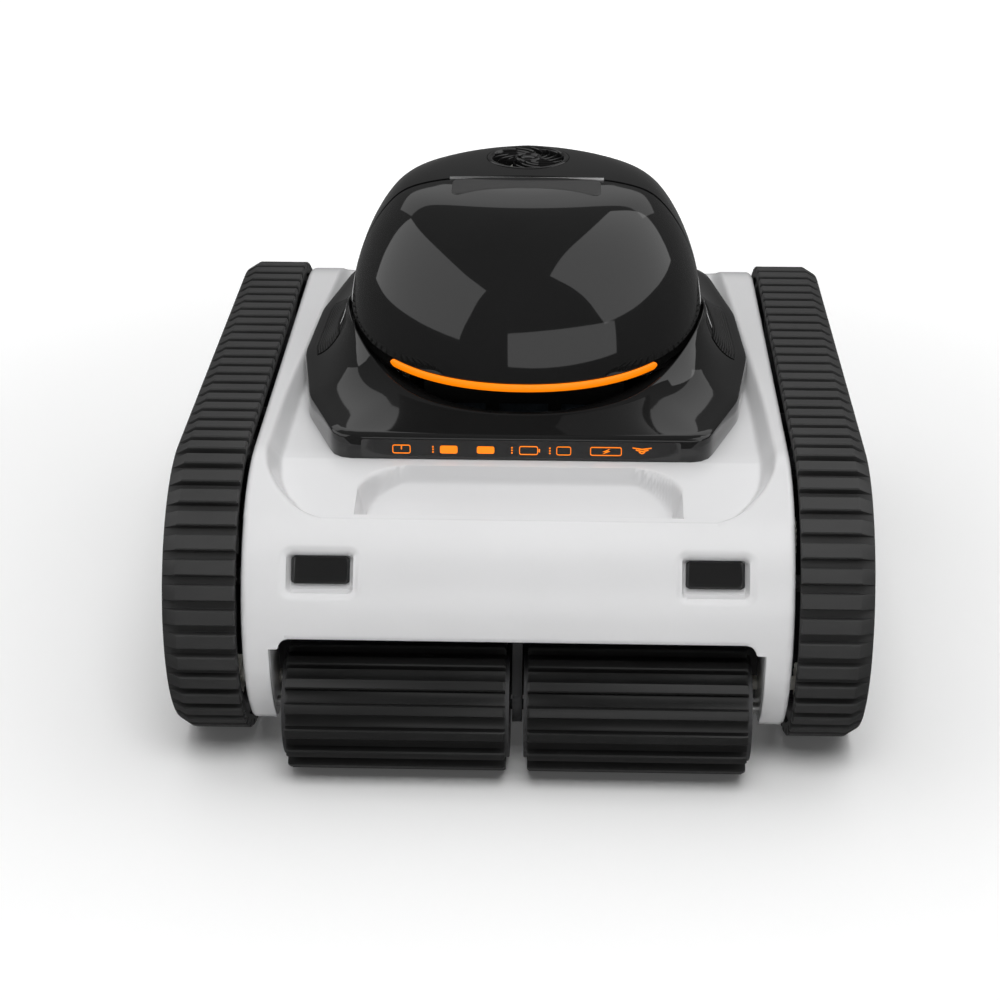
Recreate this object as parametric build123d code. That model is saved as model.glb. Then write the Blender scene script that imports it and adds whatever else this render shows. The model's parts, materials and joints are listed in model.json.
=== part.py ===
"""Cordless pool cleaner: two rubber tracks, two finned brush rollers, a filter basket and a pump.

Millimetres. X runs to the right, Y from front to back, Z up; the floor is z = 0.
"""

import os
from functools import lru_cache
from math import atan2, cos, degrees, hypot, pi, radians, sin, sqrt, tan

from build123d import *

# ---- tracks and wheels ----
WIDTH = 390.0  # over both belts
TRACK_RADIUS = 88.0  # axle to cleat tip
WHEEL_BASE = 289.0  # front axle to rear axle
FRONT_Y = -140.0  # front axle
BELT_WIDTH = 40.5
CLEAT_HEIGHT = 4.5
CLEAT_COUNT = 80
CLEAT_SHARE = 0.62  # of the pitch that a cleat takes up
CLEAT_CHAMFER = 5.0  # radial, at the outer ends
CLEAT_CHAMFER_WIDTH = 8.0
BELT_THICK = 3.0
RIB_WIDTH = 6.0  # guide rib inside the belt
RIB_HEIGHT = 3.0
WHEEL_GAP = 0.3  # wheel rim to belt
RIM_THICK = 5.2
DISC_THICK = 6.0
HUB_RADIUS = 14.0
AXLE_RADIUS = 5.0
RUNNING_GAP = 0.05  # radial, shaft in bore
PART_GAP = 0.3  # between neighbouring shells
SUPPORT_RADIUS = 16.0
SUPPORT_SPREAD = 60.0  # between the two small rollers of a side
SUPPORT_AXLE_RADIUS = 3.0

# ---- gears ----
RING_TEETH = 96  # inside each front wheel
RING_MODULE = 1.5
DRIVE_TEETH = 16
JACK_TEETH = 14  # jack shaft pinion in the wheel
BRUSH_TEETH = 50  # ring inside the brush core
BRUSH_PINION_TEETH = 20
GEAR_WIDTH = 7.0
JACK_RADIUS = 4.0

# ---- brushes ----
BRUSH_FORWARD = 59.0  # ahead of the front axle
BRUSH_RADIUS = 38.0  # fin tips
BRUSH_LIFT = 0.8  # fin tips above the floor
FIN_COUNT = 16
FIN_HEIGHT = 4.5
FIN_WIDTH = 6.5
CORE_RADIUS = 30.0
CORE_WALL = 4.0
BRUSH_INNER_X = 4.0  # end nearest the centre bracket
BRUSH_OUTER_X = 131.0
BRUSH_PIN_RADIUS = 3.0

# ---- body ----
BODY_HALF = 152.0
BODY_RADIUS = 84.0  # nose and tail follow the wheels
WALL = 3.0
BELLY_Z = 20.0
PARTING_Z = 132.0
FRONT_SPLIT_Y = -156.0  # behind the brush bay
REAR_SPLIT_Y = 185.0
LIP_Z = 92.0  # lower edge of the nose
CHEEK_X = 134.0  # inner face of the cheeks
CHEEK_Z = 28.0
TRAY_Z = 162.0
TRAY_FRONT_Z = 151.5
TRAY_LEVEL_Y = -135.0  # level behind here
TRAY_HALF_FRONT = 120.0
TRAY_HALF_WIDE = 136.0
TRAY_HALF_REAR = 124.0
SCOOP_HALF = 90.0
SCOOP_REAR_HALF = 60.0
SCOOP_REAR_Y = -142.0
SCOOP_FRONT_Y = -189.0
SCOOP_DEPTH = 24.0
WINDOW_X = 107.5
WINDOW_Z = 129.0
WINDOW_WIDTH = 38.0
WINDOW_HEIGHT = 28.0
LENS_WIDTH = 30.0
LENS_HEIGHT = 17.0
WINDOW_DEPTH = 12.0

# ---- dome ----
DOME_Y = 6.0
SEAM_Y = 8.0
SEAM_GAP = 1.25  # each side of the seam
SEAM_HEIGHT = 286.0  # top of the dome at the seam
BASE_FRONT_HALF = 107.0
BASE_WIDE_HALF = 137.0
BASE_WIDE_Y = -17.0
BASE_REAR_HALF = 120.0
BASE_REAR_Y = 150.0
BASE_TAIL_HALF = 96.0
BASE_TAIL_Y = 180.0
BASE_CORNER = 14.0
FACET_HEIGHT = 11.0  # upright display band
SLOPE_HEIGHT = 17.0
SLOPE_TAPER = 54.0
LID_LIP_Z = 187.0
LID_LIP_RISE = 20.0  # of the lip, from the nose to the seam
GROOVE_WIDTH = 6.0
GROOVE_SIDE = 0.8
GROOVE_DEPTH = 6.0
COLLAR_HEIGHT = 16.0
HINGE_Z = 284.3
HINGE_PIN_RADIUS = 1.2
KNUCKLE_RADIUS = 3.0
KNUCKLE_LENGTH = 23.0
KNUCKLE_GAP = 0.5
BAR_HALF = 45.0
BAR_LENGTH = 20.0
STRIP_HEIGHT = 4.6
STRIP_THICK = 2.0
STRIP_HALF_ANGLE = 47.0
STRIP_Z = 190.0

# ---- pump ----
PUMP_Y = 46.0
OUTLET_RADIUS = 25.0
DUCT_WALL = 2.0
DUCT_LENGTH = 34.0
IMPELLER_RADIUS = 22.5
IMPELLER_HEIGHT = 12.0
BLADE_COUNT = 6
MOTOR_RADIUS = 20.0
MOTOR_Z = 192.0
MOTOR_LENGTH = 52.0
PUMP_SHAFT_RADIUS = 3.0

# ---- filter and inlet ----
BASKET_HALF = 60.0
BASKET_FRONT_Y = -56.0
BASKET_REAR_Y = 4.0
BASKET_Z = 56.0
BASKET_TOP_Z = 178.0
BASKET_WALL = 3.0
INLET_HALF = 52.0
INLET_FRONT_Y = -46.0
INLET_REAR_Y = -6.0
INLET_Z = 13.0
FLAP_Z = 50.0
FLAP_THICK = 2.0
FLAP_INSET = 4.5  # flap hinge from the mouth's edge

# ---- sealed inner parts ----
MOTOR_CASE_RADIUS = 17.0
MOTOR_CASE_LENGTH = 60.0
BATTERY_HALF = 60.0
BATTERY_Y = (96.0, 186.0)
BATTERY_HEIGHT = 56.0
CONTROL_HEIGHT = 34.0
PORT_X = 60.0
PORT_Z = 58.0
PORT_RADIUS = 11.0
BOSS_HALF = 18.0  # flat pad round the charging port
BOSS_PROUD = 0.4  # pad's face behind the tail's rearmost line
COVER_THICK = 2.0
COVER_PIN_RADIUS = 1.2
COVER_BARREL_HALF = 8.0
LUG_LENGTH = 4.0
GRILLE_LENGTH = 84.0  # side panels on the plinth
GRILLE_WIDTH = 18.0
GRILLE_THICK = 1.6
GRILLE_SLOTS = 12
SCREW_RADIUS = 1.5
SCREW_HEAD = 3.0

# ---- worked out ----
REAR_Y = FRONT_Y + WHEEL_BASE
MIDDLE_Y = (FRONT_Y + REAR_Y) / 2
AXLE_Z = TRACK_RADIUS
BELT_OUTER = TRACK_RADIUS - CLEAT_HEIGHT
BELT_INNER = BELT_OUTER - BELT_THICK
BELT_X0 = WIDTH / 2 - BELT_WIDTH
BELT_X1 = WIDTH / 2
WHEEL_RADIUS = BELT_INNER - WHEEL_GAP
WHEEL_X0 = BELT_X0 + 2.5
WHEEL_X1 = BELT_X1 - 6.0
RIB_X = (BELT_X0 + BELT_X1) / 2
GEAR_X0 = WHEEL_X0 + 0.5
GEAR_X1 = GEAR_X0 + GEAR_WIDTH
DISC_X0 = WHEEL_X0 + 15.0
HUB_X0 = GEAR_X1 + 1.5
HUB_X1 = WHEEL_X1 - 4.0
BEAM_X0 = HUB_X1 - 0.5
BEAM_X1 = WHEEL_X1
SUPPORT_Z = TRACK_RADIUS - BELT_INNER + WHEEL_GAP + SUPPORT_RADIUS
BRUSH_Y = FRONT_Y - BRUSH_FORWARD
BRUSH_Z = BRUSH_RADIUS + BRUSH_LIFT
BRUSH_REACH = hypot(BRUSH_FORWARD, AXLE_Z - BRUSH_Z)  # front axle to brush axis
BRUSH_ANGLE = degrees(atan2(BRUSH_Z - AXLE_Z, BRUSH_Y - FRONT_Y))
DRIVE_REACH = RING_MODULE * (RING_TEETH - DRIVE_TEETH) / 2
JACK_REACH = RING_MODULE * (RING_TEETH - JACK_TEETH) / 2
JACK_Y = FRONT_Y + JACK_REACH * cos(radians(BRUSH_ANGLE))
JACK_Z = AXLE_Z + JACK_REACH * sin(radians(BRUSH_ANGLE))
JACK_OFFSET = BRUSH_REACH - JACK_REACH  # brush axis to jack shaft
BRUSH_MODULE = 2 * JACK_OFFSET / (BRUSH_TEETH - BRUSH_PINION_TEETH)
DRIVE_Y = FRONT_Y + DRIVE_REACH
BRUSH_GEAR_X0 = BRUSH_OUTER_X - 12.0
BASE_TOP_Z = TRAY_Z + FACET_HEIGHT + SLOPE_HEIGHT
LIP_SLOPE = LID_LIP_RISE / (SEAM_Y - DOME_Y + 101.0)
HINGE_Y = SEAM_Y
HINGE_HALF = 2 * (KNUCKLE_LENGTH + KNUCKLE_GAP) + KNUCKLE_GAP  # half the row of knuckles, with room
SCREW_PLACES = [(x, y) for x in (-BODY_HALF + 12, BODY_HALF - 12) for y in (FRONT_Y, MIDDLE_Y, REAR_Y)]
BOSS_Y = REAR_Y + BODY_RADIUS - BOSS_PROUD
COVER_HINGE_Y = BOSS_Y + COVER_THICK / 2 + 0.6
COVER_HINGE_Z = PORT_Z + BOSS_HALF - COVER_PIN_RADIUS - 1
FAR = 600.0  # longer than the object, for cutting boxes
BOTH_SIDES = {"right": 1, "left": -1}

# Half width, front reach and rear reach of the dome at each height, from DOME_Y.
DOME_LEVELS = (
    (184.0, 109.0, 102.0, 168.0),
    (208.0, 108.0, 99.0, 160.0),
    (230.0, 103.5, 93.0, 148.0),
    (250.0, 95.5, 83.0, 132.0),
    (266.0, 85.5, 69.0, 112.0),
    (278.0, 71.0, 51.0, 90.0),
    (285.0, 52.0, 31.0, 68.0),
)
DOME_TOP_Z = 288.0
DOME_CROWN = 0.55  # size of the flat crown, as a share of the last level
SECTION_POINTS = 20


# ---- helpers ----
def across(sketch, x0, x1):
    """A side-view sketch (y, z) pulled along X."""
    return extrude(Plane.YZ.offset(x0) * sketch, amount=x1 - x0)


def rod(y, z, radius, x0, x1):
    return across(Pos(y, z) * Circle(radius), x0, x1)


def post(x, y, radius, z0, z1):
    return Pos(x, y, (z0 + z1) / 2) * Cylinder(radius, z1 - z0)


def block(x0, x1, y0, y1, z0, z1):
    return Pos((x0 + x1) / 2, (y0 + y1) / 2, (z0 + z1) / 2) * Box(x1 - x0, y1 - y0, z1 - z0)


def mirrored(shape, side):
    return shape if side > 0 else mirror(shape, about=Plane.YZ)


def both(shape):
    return Compound(children=[shape, mirror(shape, about=Plane.YZ)])


def stadium(radius):
    """Side outline of a loop round both axles, as a sketch in (y, z)."""
    return Pos(MIDDLE_Y, AXLE_Z) * SlotCenterToCenter(WHEEL_BASE, 2 * radius)


def gear_outline(teeth, module, phase, inner=False):
    """Toothed outline about the origin; inner gives the space inside a ring gear."""
    pitch_radius = module * teeth / 2
    share = 0.6 if inner else 0.4
    tip, root = (1.1, 0.8) if inner else (0.8, 1.1)
    half = share * pi * module / 2
    points = []
    for tooth in range(teeth):
        middle = radians(phase + tooth * 360 / teeth)
        corners = ((-root, -1), (tip, -1), (tip, 1), (root * -1, 1))
        for height, side in corners:
            radius = pitch_radius + height * module
            angle = middle + side * (half - height * module * tan(radians(20))) / radius
            points.append((radius * cos(angle), radius * sin(angle)))
    return make_face(Polyline(*points, close=True))


def gear(teeth, module, phase, y, z, x0, x1):
    return across(Pos(y, z) * gear_outline(teeth, module, phase), x0, x1)


def dome_level(z):
    """Half width, front reach and rear reach of the dome at a height."""
    for low, high in zip(DOME_LEVELS, DOME_LEVELS[1:]):
        if z <= high[0]:
            part = (z - low[0]) / (high[0] - low[0])
            return [a + part * (b - a) for a, b in zip(low[1:], high[1:])]
    return list(DOME_LEVELS[-1][1:])


def dome_section(z, half, front, rear):
    """One closed level curve of the dome: an ellipse in front, squarer behind."""
    points = []
    for step in range(SECTION_POINTS):
        angle = 2 * pi * step / SECTION_POINTS
        power = 1.0 if sin(angle) < 0 else 0.82
        x = half * abs(cos(angle)) ** power * (1 if cos(angle) >= 0 else -1)
        reach = front if sin(angle) < 0 else rear
        y = reach * abs(sin(angle)) ** power * (1 if sin(angle) >= 0 else -1)
        points.append((x, DOME_Y + y))
    return Pos(0, 0, z) * make_face(Spline(*points, periodic=True))


@lru_cache
def dome_solid(inset):
    """The whole dome, made smaller all round by inset."""
    sections = [
        dome_section(z - inset, half - inset, front - inset, rear - inset)
        for z, half, front, rear in DOME_LEVELS
    ]
    _, half, front, rear = (size * DOME_CROWN for size in DOME_LEVELS[-1])
    sections.append(dome_section(DOME_TOP_Z - inset, half, front, rear))
    return loft(sections)


def base_outline(inset=0.0):
    """Plan of the dome's plinth, smaller all round by inset."""
    points = [
        (BASE_FRONT_HALF - inset, TRAY_LEVEL_Y + inset),
        (BASE_WIDE_HALF - inset, BASE_WIDE_Y),
        (BASE_REAR_HALF - inset, BASE_REAR_Y),
        (BASE_TAIL_HALF - inset, BASE_TAIL_Y - inset),
    ]
    points += [(-x, y) for x, y in reversed(points)]
    outline = make_face(Polyline(*points, close=True))
    return fillet(outline.vertices(), BASE_CORNER)


def base_block(inset, z0, z1, slope_z1):
    """Plinth: upright to z1, then sloping in to slope_z1."""
    foot = extrude(Pos(0, 0, z0) * base_outline(inset), amount=z1 - z0)
    top_inset = inset + (slope_z1 - z1) * tan(radians(SLOPE_TAPER))
    return foot + loft([Pos(0, 0, z1) * base_outline(inset), Pos(0, 0, slope_z1) * base_outline(top_inset)], ruled=True)


def tray_z(y):
    """Height of the tray's surface."""
    front_y = FRONT_Y - sqrt(BODY_RADIUS**2 - (TRAY_FRONT_Z - AXLE_Z) ** 2)
    if y >= TRAY_LEVEL_Y:
        return TRAY_Z
    return TRAY_FRONT_Z + (TRAY_Z - TRAY_FRONT_Z) * (y - front_y) / (TRAY_LEVEL_Y - front_y)


# ---- body shells ----
def above_tray(drop=0.0):
    """Everything higher than the tray's surface, less drop."""
    points = [
        (-FAR, tray_z(-240) - drop),
        (-240, tray_z(-240) - drop),
        (TRAY_LEVEL_Y, TRAY_Z - drop),
        (FAR, TRAY_Z - drop),
        (FAR, FAR),
        (-FAR, FAR),
    ]
    return across(make_face(Polyline(*points, close=True)), -FAR, FAR)


def scoop(grow=0.0):
    """Hand hold behind the nose, deepest at its front."""
    plan_points = [
        (-SCOOP_HALF - grow, SCOOP_FRONT_Y - grow),
        (SCOOP_HALF + grow, SCOOP_FRONT_Y - grow),
        (SCOOP_HALF + grow, SCOOP_REAR_Y - 22 + grow),
        (SCOOP_REAR_HALF + grow, SCOOP_REAR_Y + grow),
        (-SCOOP_REAR_HALF - grow, SCOOP_REAR_Y + grow),
        (-SCOOP_HALF - grow, SCOOP_REAR_Y - 22 + grow),
    ]
    plan = make_face(Polyline(*plan_points, close=True))
    rear_corners = plan.vertices().sort_by(Axis.Y)[-4:]
    plan = fillet(rear_corners, 15)
    side_points = [
        (SCOOP_FRONT_Y - grow, tray_z(SCOOP_FRONT_Y) - SCOOP_DEPTH - grow),
        (SCOOP_REAR_Y + grow, tray_z(SCOOP_REAR_Y) - 1 - grow),
        (SCOOP_REAR_Y + grow, FAR),
        (SCOOP_FRONT_Y - grow, FAR),
    ]
    side = across(make_face(Polyline(*side_points, close=True)), -FAR, FAR)
    return extrude(plan, amount=FAR) & side


def shell_zone(grow=0.0):
    """Space of the white shell: the top, the nose with its cheeks, and the tail."""
    top = block(-FAR, FAR, -FAR, FAR, PARTING_Z - grow, FAR)
    nose = block(-FAR, FAR, -FAR, FRONT_SPLIT_Y + grow, CHEEK_Z - grow, FAR)
    tail = block(-FAR, FAR, REAR_SPLIT_Y - grow, FAR, LIP_Z - grow, FAR)
    return top + nose + tail


def window_holes():
    """Tapered recess and lens opening of one front window."""
    nose_y = FRONT_Y - BODY_RADIUS
    recess = Pos(0, nose_y, WINDOW_Z) * Box(LENS_WIDTH + 4, 2 * WINDOW_DEPTH, LENS_HEIGHT + 6)
    return Pos(WINDOW_X, 0, 0) * recess


def make_upper_shell():
    body = across(stadium(BODY_RADIUS), -BODY_HALF, BODY_HALF) & shell_zone()
    plan = [
        (TRAY_HALF_FRONT, FRONT_Y - BODY_RADIUS),
        (TRAY_HALF_FRONT + 2, FRONT_Y - 0.6 * BODY_RADIUS),
        (TRAY_HALF_WIDE, FRONT_Y),
        (TRAY_HALF_REAR, REAR_Y),
        (TRAY_HALF_REAR - 3, REAR_Y + BODY_RADIUS),
    ]
    right = Spline(*plan)
    left = Spline(*[(-x, y) for x, y in plan])
    outline = right + left + Line(plan[0], (-plan[0][0], plan[0][1])) + Line(plan[-1], (-plan[-1][0], plan[-1][1]))
    tray = extrude(make_face(outline), amount=FAR) & above_tray()
    body -= tray
    inner = across(stadium(BODY_RADIUS - WALL), -BODY_HALF + WALL, BODY_HALF - WALL)
    inner -= above_tray(WALL)
    inner -= scoop(WALL)
    nose = block(-FAR, FAR, -FAR, FRONT_SPLIT_Y, -FAR, LIP_Z + WALL)
    cheeks = block(-FAR, FAR, -FAR, FRONT_SPLIT_Y, -FAR, PARTING_Z)
    cheeks -= block(-CHEEK_X, CHEEK_X, -FAR, FAR, -FAR, FAR)
    body -= inner - nose - cheeks
    body -= block(-CHEEK_X, CHEEK_X, -FAR, FRONT_SPLIT_Y, -FAR, LIP_Z)
    body -= scoop()
    body -= window_holes() + mirror(window_holes(), about=Plane.YZ)
    body -= extrude(base_outline(8), amount=FAR)
    for side in (1, -1):
        body -= mirrored(rod(JACK_Y, JACK_Z, JACK_RADIUS + RUNNING_GAP, 0, FAR), side)
        body -= mirrored(rod(BRUSH_Y, BRUSH_Z, BRUSH_PIN_RADIUS, 0, CHEEK_X + 8), side)
    return body


def make_lower_chassis():
    body = across(stadium(BODY_RADIUS), -BODY_HALF, BODY_HALF)
    body &= block(-FAR, FAR, -FAR, FAR, BELLY_Z, FAR)
    body -= shell_zone(PART_GAP)
    body -= block(-FAR, FAR, -FAR, FRONT_SPLIT_Y + PART_GAP, -FAR, FAR)
    inner = across(stadium(BODY_RADIUS - WALL), -BODY_HALF + WALL, BODY_HALF - WALL)
    inner &= block(-FAR, FAR, FRONT_SPLIT_Y + PART_GAP + WALL, FAR, BELLY_Z + WALL, FAR)
    body -= inner
    body -= block(-INLET_HALF, INLET_HALF, INLET_FRONT_Y, INLET_REAR_Y, 0, AXLE_Z)
    for side in (1, -1):
        for y in (FRONT_Y, REAR_Y):
            body -= mirrored(rod(y, AXLE_Z, AXLE_RADIUS, BODY_HALF - WALL, FAR), side)
        for y in (MIDDLE_Y - SUPPORT_SPREAD / 2, MIDDLE_Y + SUPPORT_SPREAD / 2):
            body -= mirrored(rod(y, SUPPORT_Z, SUPPORT_AXLE_RADIUS, BODY_HALF - WALL, FAR), side)
        body -= mirrored(rod(DRIVE_Y, AXLE_Z, JACK_RADIUS + RUNNING_GAP, 0, FAR), side)
    body += block(PORT_X - BOSS_HALF, PORT_X + BOSS_HALF, BATTERY_Y[1] + 6, BOSS_Y, PORT_Z - BOSS_HALF,
                  PORT_Z + BOSS_HALF)
    for x in (PORT_X - COVER_BARREL_HALF - LUG_LENGTH - PART_GAP, PORT_X + COVER_BARREL_HALF + PART_GAP):
        body += block(x, x + LUG_LENGTH, BOSS_Y - 1, COVER_HINGE_Y + 1.5 * COVER_PIN_RADIUS,
                      COVER_HINGE_Z - 1.5 * COVER_PIN_RADIUS, COVER_HINGE_Z + 1.5 * COVER_PIN_RADIUS)
    body -= rod(COVER_HINGE_Y, COVER_HINGE_Z, COVER_PIN_RADIUS + RUNNING_GAP, 0, FAR)
    port = Pos(PORT_X, REAR_Y + BODY_RADIUS, PORT_Z) * Rot(90, 0, 0) * Cylinder(PORT_RADIUS, 120)
    body -= port
    for x, y in SCREW_PLACES:
        body -= post(x, y, SCREW_RADIUS, 0, BELLY_Z + 9)
    return body


def make_dome_base():
    facet_z = TRAY_Z + FACET_HEIGHT
    base = base_block(0, TRAY_Z, facet_z, BASE_TOP_Z)
    base -= base_block(8, TRAY_Z, facet_z, BASE_TOP_Z - WALL)
    front_only = block(-FAR, FAR, -FAR, SEAM_Y, 0, FAR)
    half, front, rear = dome_level(BASE_TOP_Z)
    groove_z = BASE_TOP_Z - GROOVE_DEPTH + WALL
    groove = extrude(dome_section(groove_z, half + GROOVE_SIDE, front + GROOVE_WIDTH, rear), amount=FAR)
    base -= groove & front_only
    collar = dome_section(groove_z - WALL, half - WALL - 2, front - WALL - 2, rear)
    base += extrude(collar, amount=COLLAR_HEIGHT) & front_only
    opening = dome_section(TRAY_Z, half - 3 * WALL, front - 3 * WALL, rear - 12 * WALL)
    return base - extrude(opening, amount=FAR)


# ---- lid and rear cover ----
def lip_cut(clear=0.0):
    """Everything under the lid's lip, which rises towards the seam."""
    front_y = DOME_Y - 102
    points = [
        (-FAR, LID_LIP_Z + LIP_SLOPE * (-FAR - front_y) + clear),
        (FAR, LID_LIP_Z + LIP_SLOPE * (FAR - front_y) + clear),
        (FAR, -FAR),
        (-FAR, -FAR),
    ]
    return across(make_face(Polyline(*points, close=True)), -FAR, FAR)


def knuckles(on_lid, grow=0.0, spread=0.0):
    """Hinge barrels: two on the lid, three on the rear cover."""
    pitch = KNUCKLE_LENGTH + KNUCKLE_GAP
    places = (-0.5, 0.5) if on_lid else (-1.5, 1.5)
    shape = None
    for place in places:
        middle = place * pitch
        half = KNUCKLE_LENGTH / 2 + spread
        barrel = rod(HINGE_Y, HINGE_Z, KNUCKLE_RADIUS + grow, middle - half, middle + half)
        shape = barrel if shape is None else shape + barrel
    return shape


def hinge_bore():
    return rod(HINGE_Y, HINGE_Z, HINGE_PIN_RADIUS + RUNNING_GAP, -FAR, FAR)


def strip_solid(grow=0.0):
    """Light strip: an arc band along the lid's lip."""
    half, front, _ = dome_level(STRIP_Z)
    band = dome_solid(0) - dome_solid(STRIP_THICK + grow)
    low = lip_cut(STRIP_Z - LID_LIP_Z - STRIP_HEIGHT / 2 - grow)
    high = lip_cut(STRIP_Z - LID_LIP_Z + STRIP_HEIGHT / 2 + grow)
    reach = half * sin(radians(STRIP_HALF_ANGLE)) + grow
    return (band & (high - low)) & block(-reach, reach, -FAR, DOME_Y - front / 3, 0, FAR)


def make_lid():
    lid = dome_solid(0) - dome_solid(WALL)
    lid &= block(-FAR, FAR, -FAR, SEAM_Y - SEAM_GAP, 0, FAR)
    lid -= lip_cut()
    lid -= strip_solid(PART_GAP / 3)
    bar = block(-BAR_HALF, BAR_HALF, SEAM_Y - SEAM_GAP - BAR_LENGTH, SEAM_Y, SEAM_HEIGHT - 4, FAR)
    lid -= bar
    lid -= block(-HINGE_HALF, HINGE_HALF, SEAM_Y - 2 * KNUCKLE_RADIUS, SEAM_Y, SEAM_HEIGHT - 12, FAR)
    web = block(-BAR_HALF, BAR_HALF, SEAM_Y - BAR_LENGTH - 4, SEAM_Y - 2 * KNUCKLE_RADIUS,
                SEAM_HEIGHT - 7, SEAM_HEIGHT - 4)
    lid += web
    for middle in (-0.5, 0.5):
        centre = middle * (KNUCKLE_LENGTH + KNUCKLE_GAP)
        half = KNUCKLE_LENGTH / 2
        lid += block(centre - half, centre + half, SEAM_Y - 2 * KNUCKLE_RADIUS - 1, HINGE_Y - 1,
                     SEAM_HEIGHT - 5, SEAM_HEIGHT - 2)
    lid += knuckles(True)
    return lid - hinge_bore()


def make_rear_cover():
    cover = dome_solid(0) - dome_solid(WALL)
    cover &= block(-FAR, FAR, SEAM_Y + SEAM_GAP, FAR, BASE_TOP_Z + PART_GAP / 3, FAR)
    cover -= block(-HINGE_HALF, HINGE_HALF, 0, HINGE_Y + KNUCKLE_RADIUS + 1, SEAM_HEIGHT - 8, FAR)
    web_y = HINGE_Y + KNUCKLE_RADIUS
    for middle in (-1.5, 1.5):
        centre = middle * (KNUCKLE_LENGTH + KNUCKLE_GAP)
        half = KNUCKLE_LENGTH / 2
        cover += block(centre - half, centre + half, HINGE_Y + 1, web_y + 3,
                       HINGE_Z - KNUCKLE_RADIUS, HINGE_Z)
    cover += knuckles(False)
    duct = post(0, PUMP_Y, OUTLET_RADIUS + DUCT_WALL + PART_GAP, DOME_TOP_Z - DUCT_LENGTH, DOME_TOP_Z - 2)
    cover += duct
    cover -= post(0, PUMP_Y, OUTLET_RADIUS + PART_GAP / 3, DOME_TOP_Z - DUCT_LENGTH, FAR)
    return cover - hinge_bore()


def make_hinge_bar():
    """Matt grip plate set into the lid in front of the hinge."""
    front_y = SEAM_Y - SEAM_GAP - BAR_LENGTH + PART_GAP
    half = BAR_HALF - PART_GAP
    return block(-half, half, front_y, SEAM_Y - 2 * KNUCKLE_RADIUS - 1, SEAM_HEIGHT - 4, SEAM_HEIGHT - 0.8)


def make_hinge_pin():
    return rod(HINGE_Y, HINGE_Z, HINGE_PIN_RADIUS, -HINGE_HALF + 1, HINGE_HALF - 1)


# ---- tracks ----
def make_belt(side):
    loop = stadium(BELT_OUTER) - stadium(BELT_INNER)
    arc_length = pi * TRACK_RADIUS
    length = 2 * WHEEL_BASE + 2 * arc_length
    pitch = length / CLEAT_COUNT
    cleat = Rectangle(pitch * CLEAT_SHARE, CLEAT_HEIGHT + 1.5)
    height = BELT_OUTER + CLEAT_HEIGHT / 2 - 0.25
    cleats = []
    for number in range(CLEAT_COUNT):
        s = number * pitch
        if s < WHEEL_BASE:
            place = Pos(REAR_Y - s, AXLE_Z + height)
        elif s < WHEEL_BASE + arc_length:
            place = Pos(FRONT_Y, AXLE_Z) * Rot(0, 0, degrees((s - WHEEL_BASE) / TRACK_RADIUS))
            place *= Pos(0, height)
        elif s < 2 * WHEEL_BASE + arc_length:
            place = Pos(FRONT_Y + s - WHEEL_BASE - arc_length, AXLE_Z - height)
        else:
            turn = 180 + degrees((s - 2 * WHEEL_BASE - arc_length) / TRACK_RADIUS)
            place = Pos(REAR_Y, AXLE_Z) * Rot(0, 0, turn) * Pos(0, height)
        cleats.append(place * cleat)
    belt = across(loop + cleats, BELT_X0, BELT_X1)
    envelope = across(stadium(TRACK_RADIUS), BELT_X0, BELT_X1)
    outer_rim = envelope.faces().sort_by(Axis.X)[-1].outer_wire().edges()
    envelope = chamfer(outer_rim, CLEAT_CHAMFER, CLEAT_CHAMFER_WIDTH, reference=envelope.faces().sort_by(Axis.X)[-1])
    belt &= envelope
    rib = stadium(BELT_INNER + 0.5) - stadium(BELT_INNER - RIB_HEIGHT)
    belt += across(rib, RIB_X - RIB_WIDTH / 2, RIB_X + RIB_WIDTH / 2)
    return mirrored(belt, side)


def make_wheel(y, toothed, side):
    rim = rod(y, AXLE_Z, WHEEL_RADIUS, WHEEL_X0, WHEEL_X1)
    rim -= rod(y, AXLE_Z, WHEEL_RADIUS - RIM_THICK, WHEEL_X0, WHEEL_X1)
    groove = rod(y, AXLE_Z, FAR, RIB_X - RIB_WIDTH / 2 - 0.5, RIB_X + RIB_WIDTH / 2 + 0.5)
    groove -= rod(y, AXLE_Z, WHEEL_RADIUS - RIB_HEIGHT, 0, FAR)
    wheel = rim - groove
    disc = rod(y, AXLE_Z, WHEEL_RADIUS - RIM_THICK + 0.5, DISC_X0, DISC_X0 + DISC_THICK)
    window_radius = 13.0
    for number in range(6):
        angle = radians(60 * number)
        middle = (HUB_RADIUS + WHEEL_RADIUS - RIM_THICK) / 2
        disc -= rod(y + middle * cos(angle), AXLE_Z + middle * sin(angle), window_radius, 0, FAR)
    wheel += disc
    wheel += rod(y, AXLE_Z, HUB_RADIUS, HUB_X0, HUB_X1)
    if toothed:
        ring = Pos(y, AXLE_Z) * Circle(WHEEL_RADIUS - RIM_THICK + 0.5)
        ring -= Pos(y, AXLE_Z) * gear_outline(RING_TEETH, RING_MODULE, BRUSH_ANGLE, inner=True)
        wheel += across(ring, WHEEL_X0, WHEEL_X0 + GEAR_WIDTH + 1)
    wheel -= rod(y, AXLE_Z, AXLE_RADIUS + RUNNING_GAP, 0, FAR)
    return mirrored(wheel, side)


def make_hub_cap(y, side):
    cap = rod(y, AXLE_Z, HUB_RADIUS, HUB_X1, HUB_X1 + 3)
    return mirrored(fillet(cap.edges().group_by(Axis.X)[-1], 1.5), side)


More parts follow.
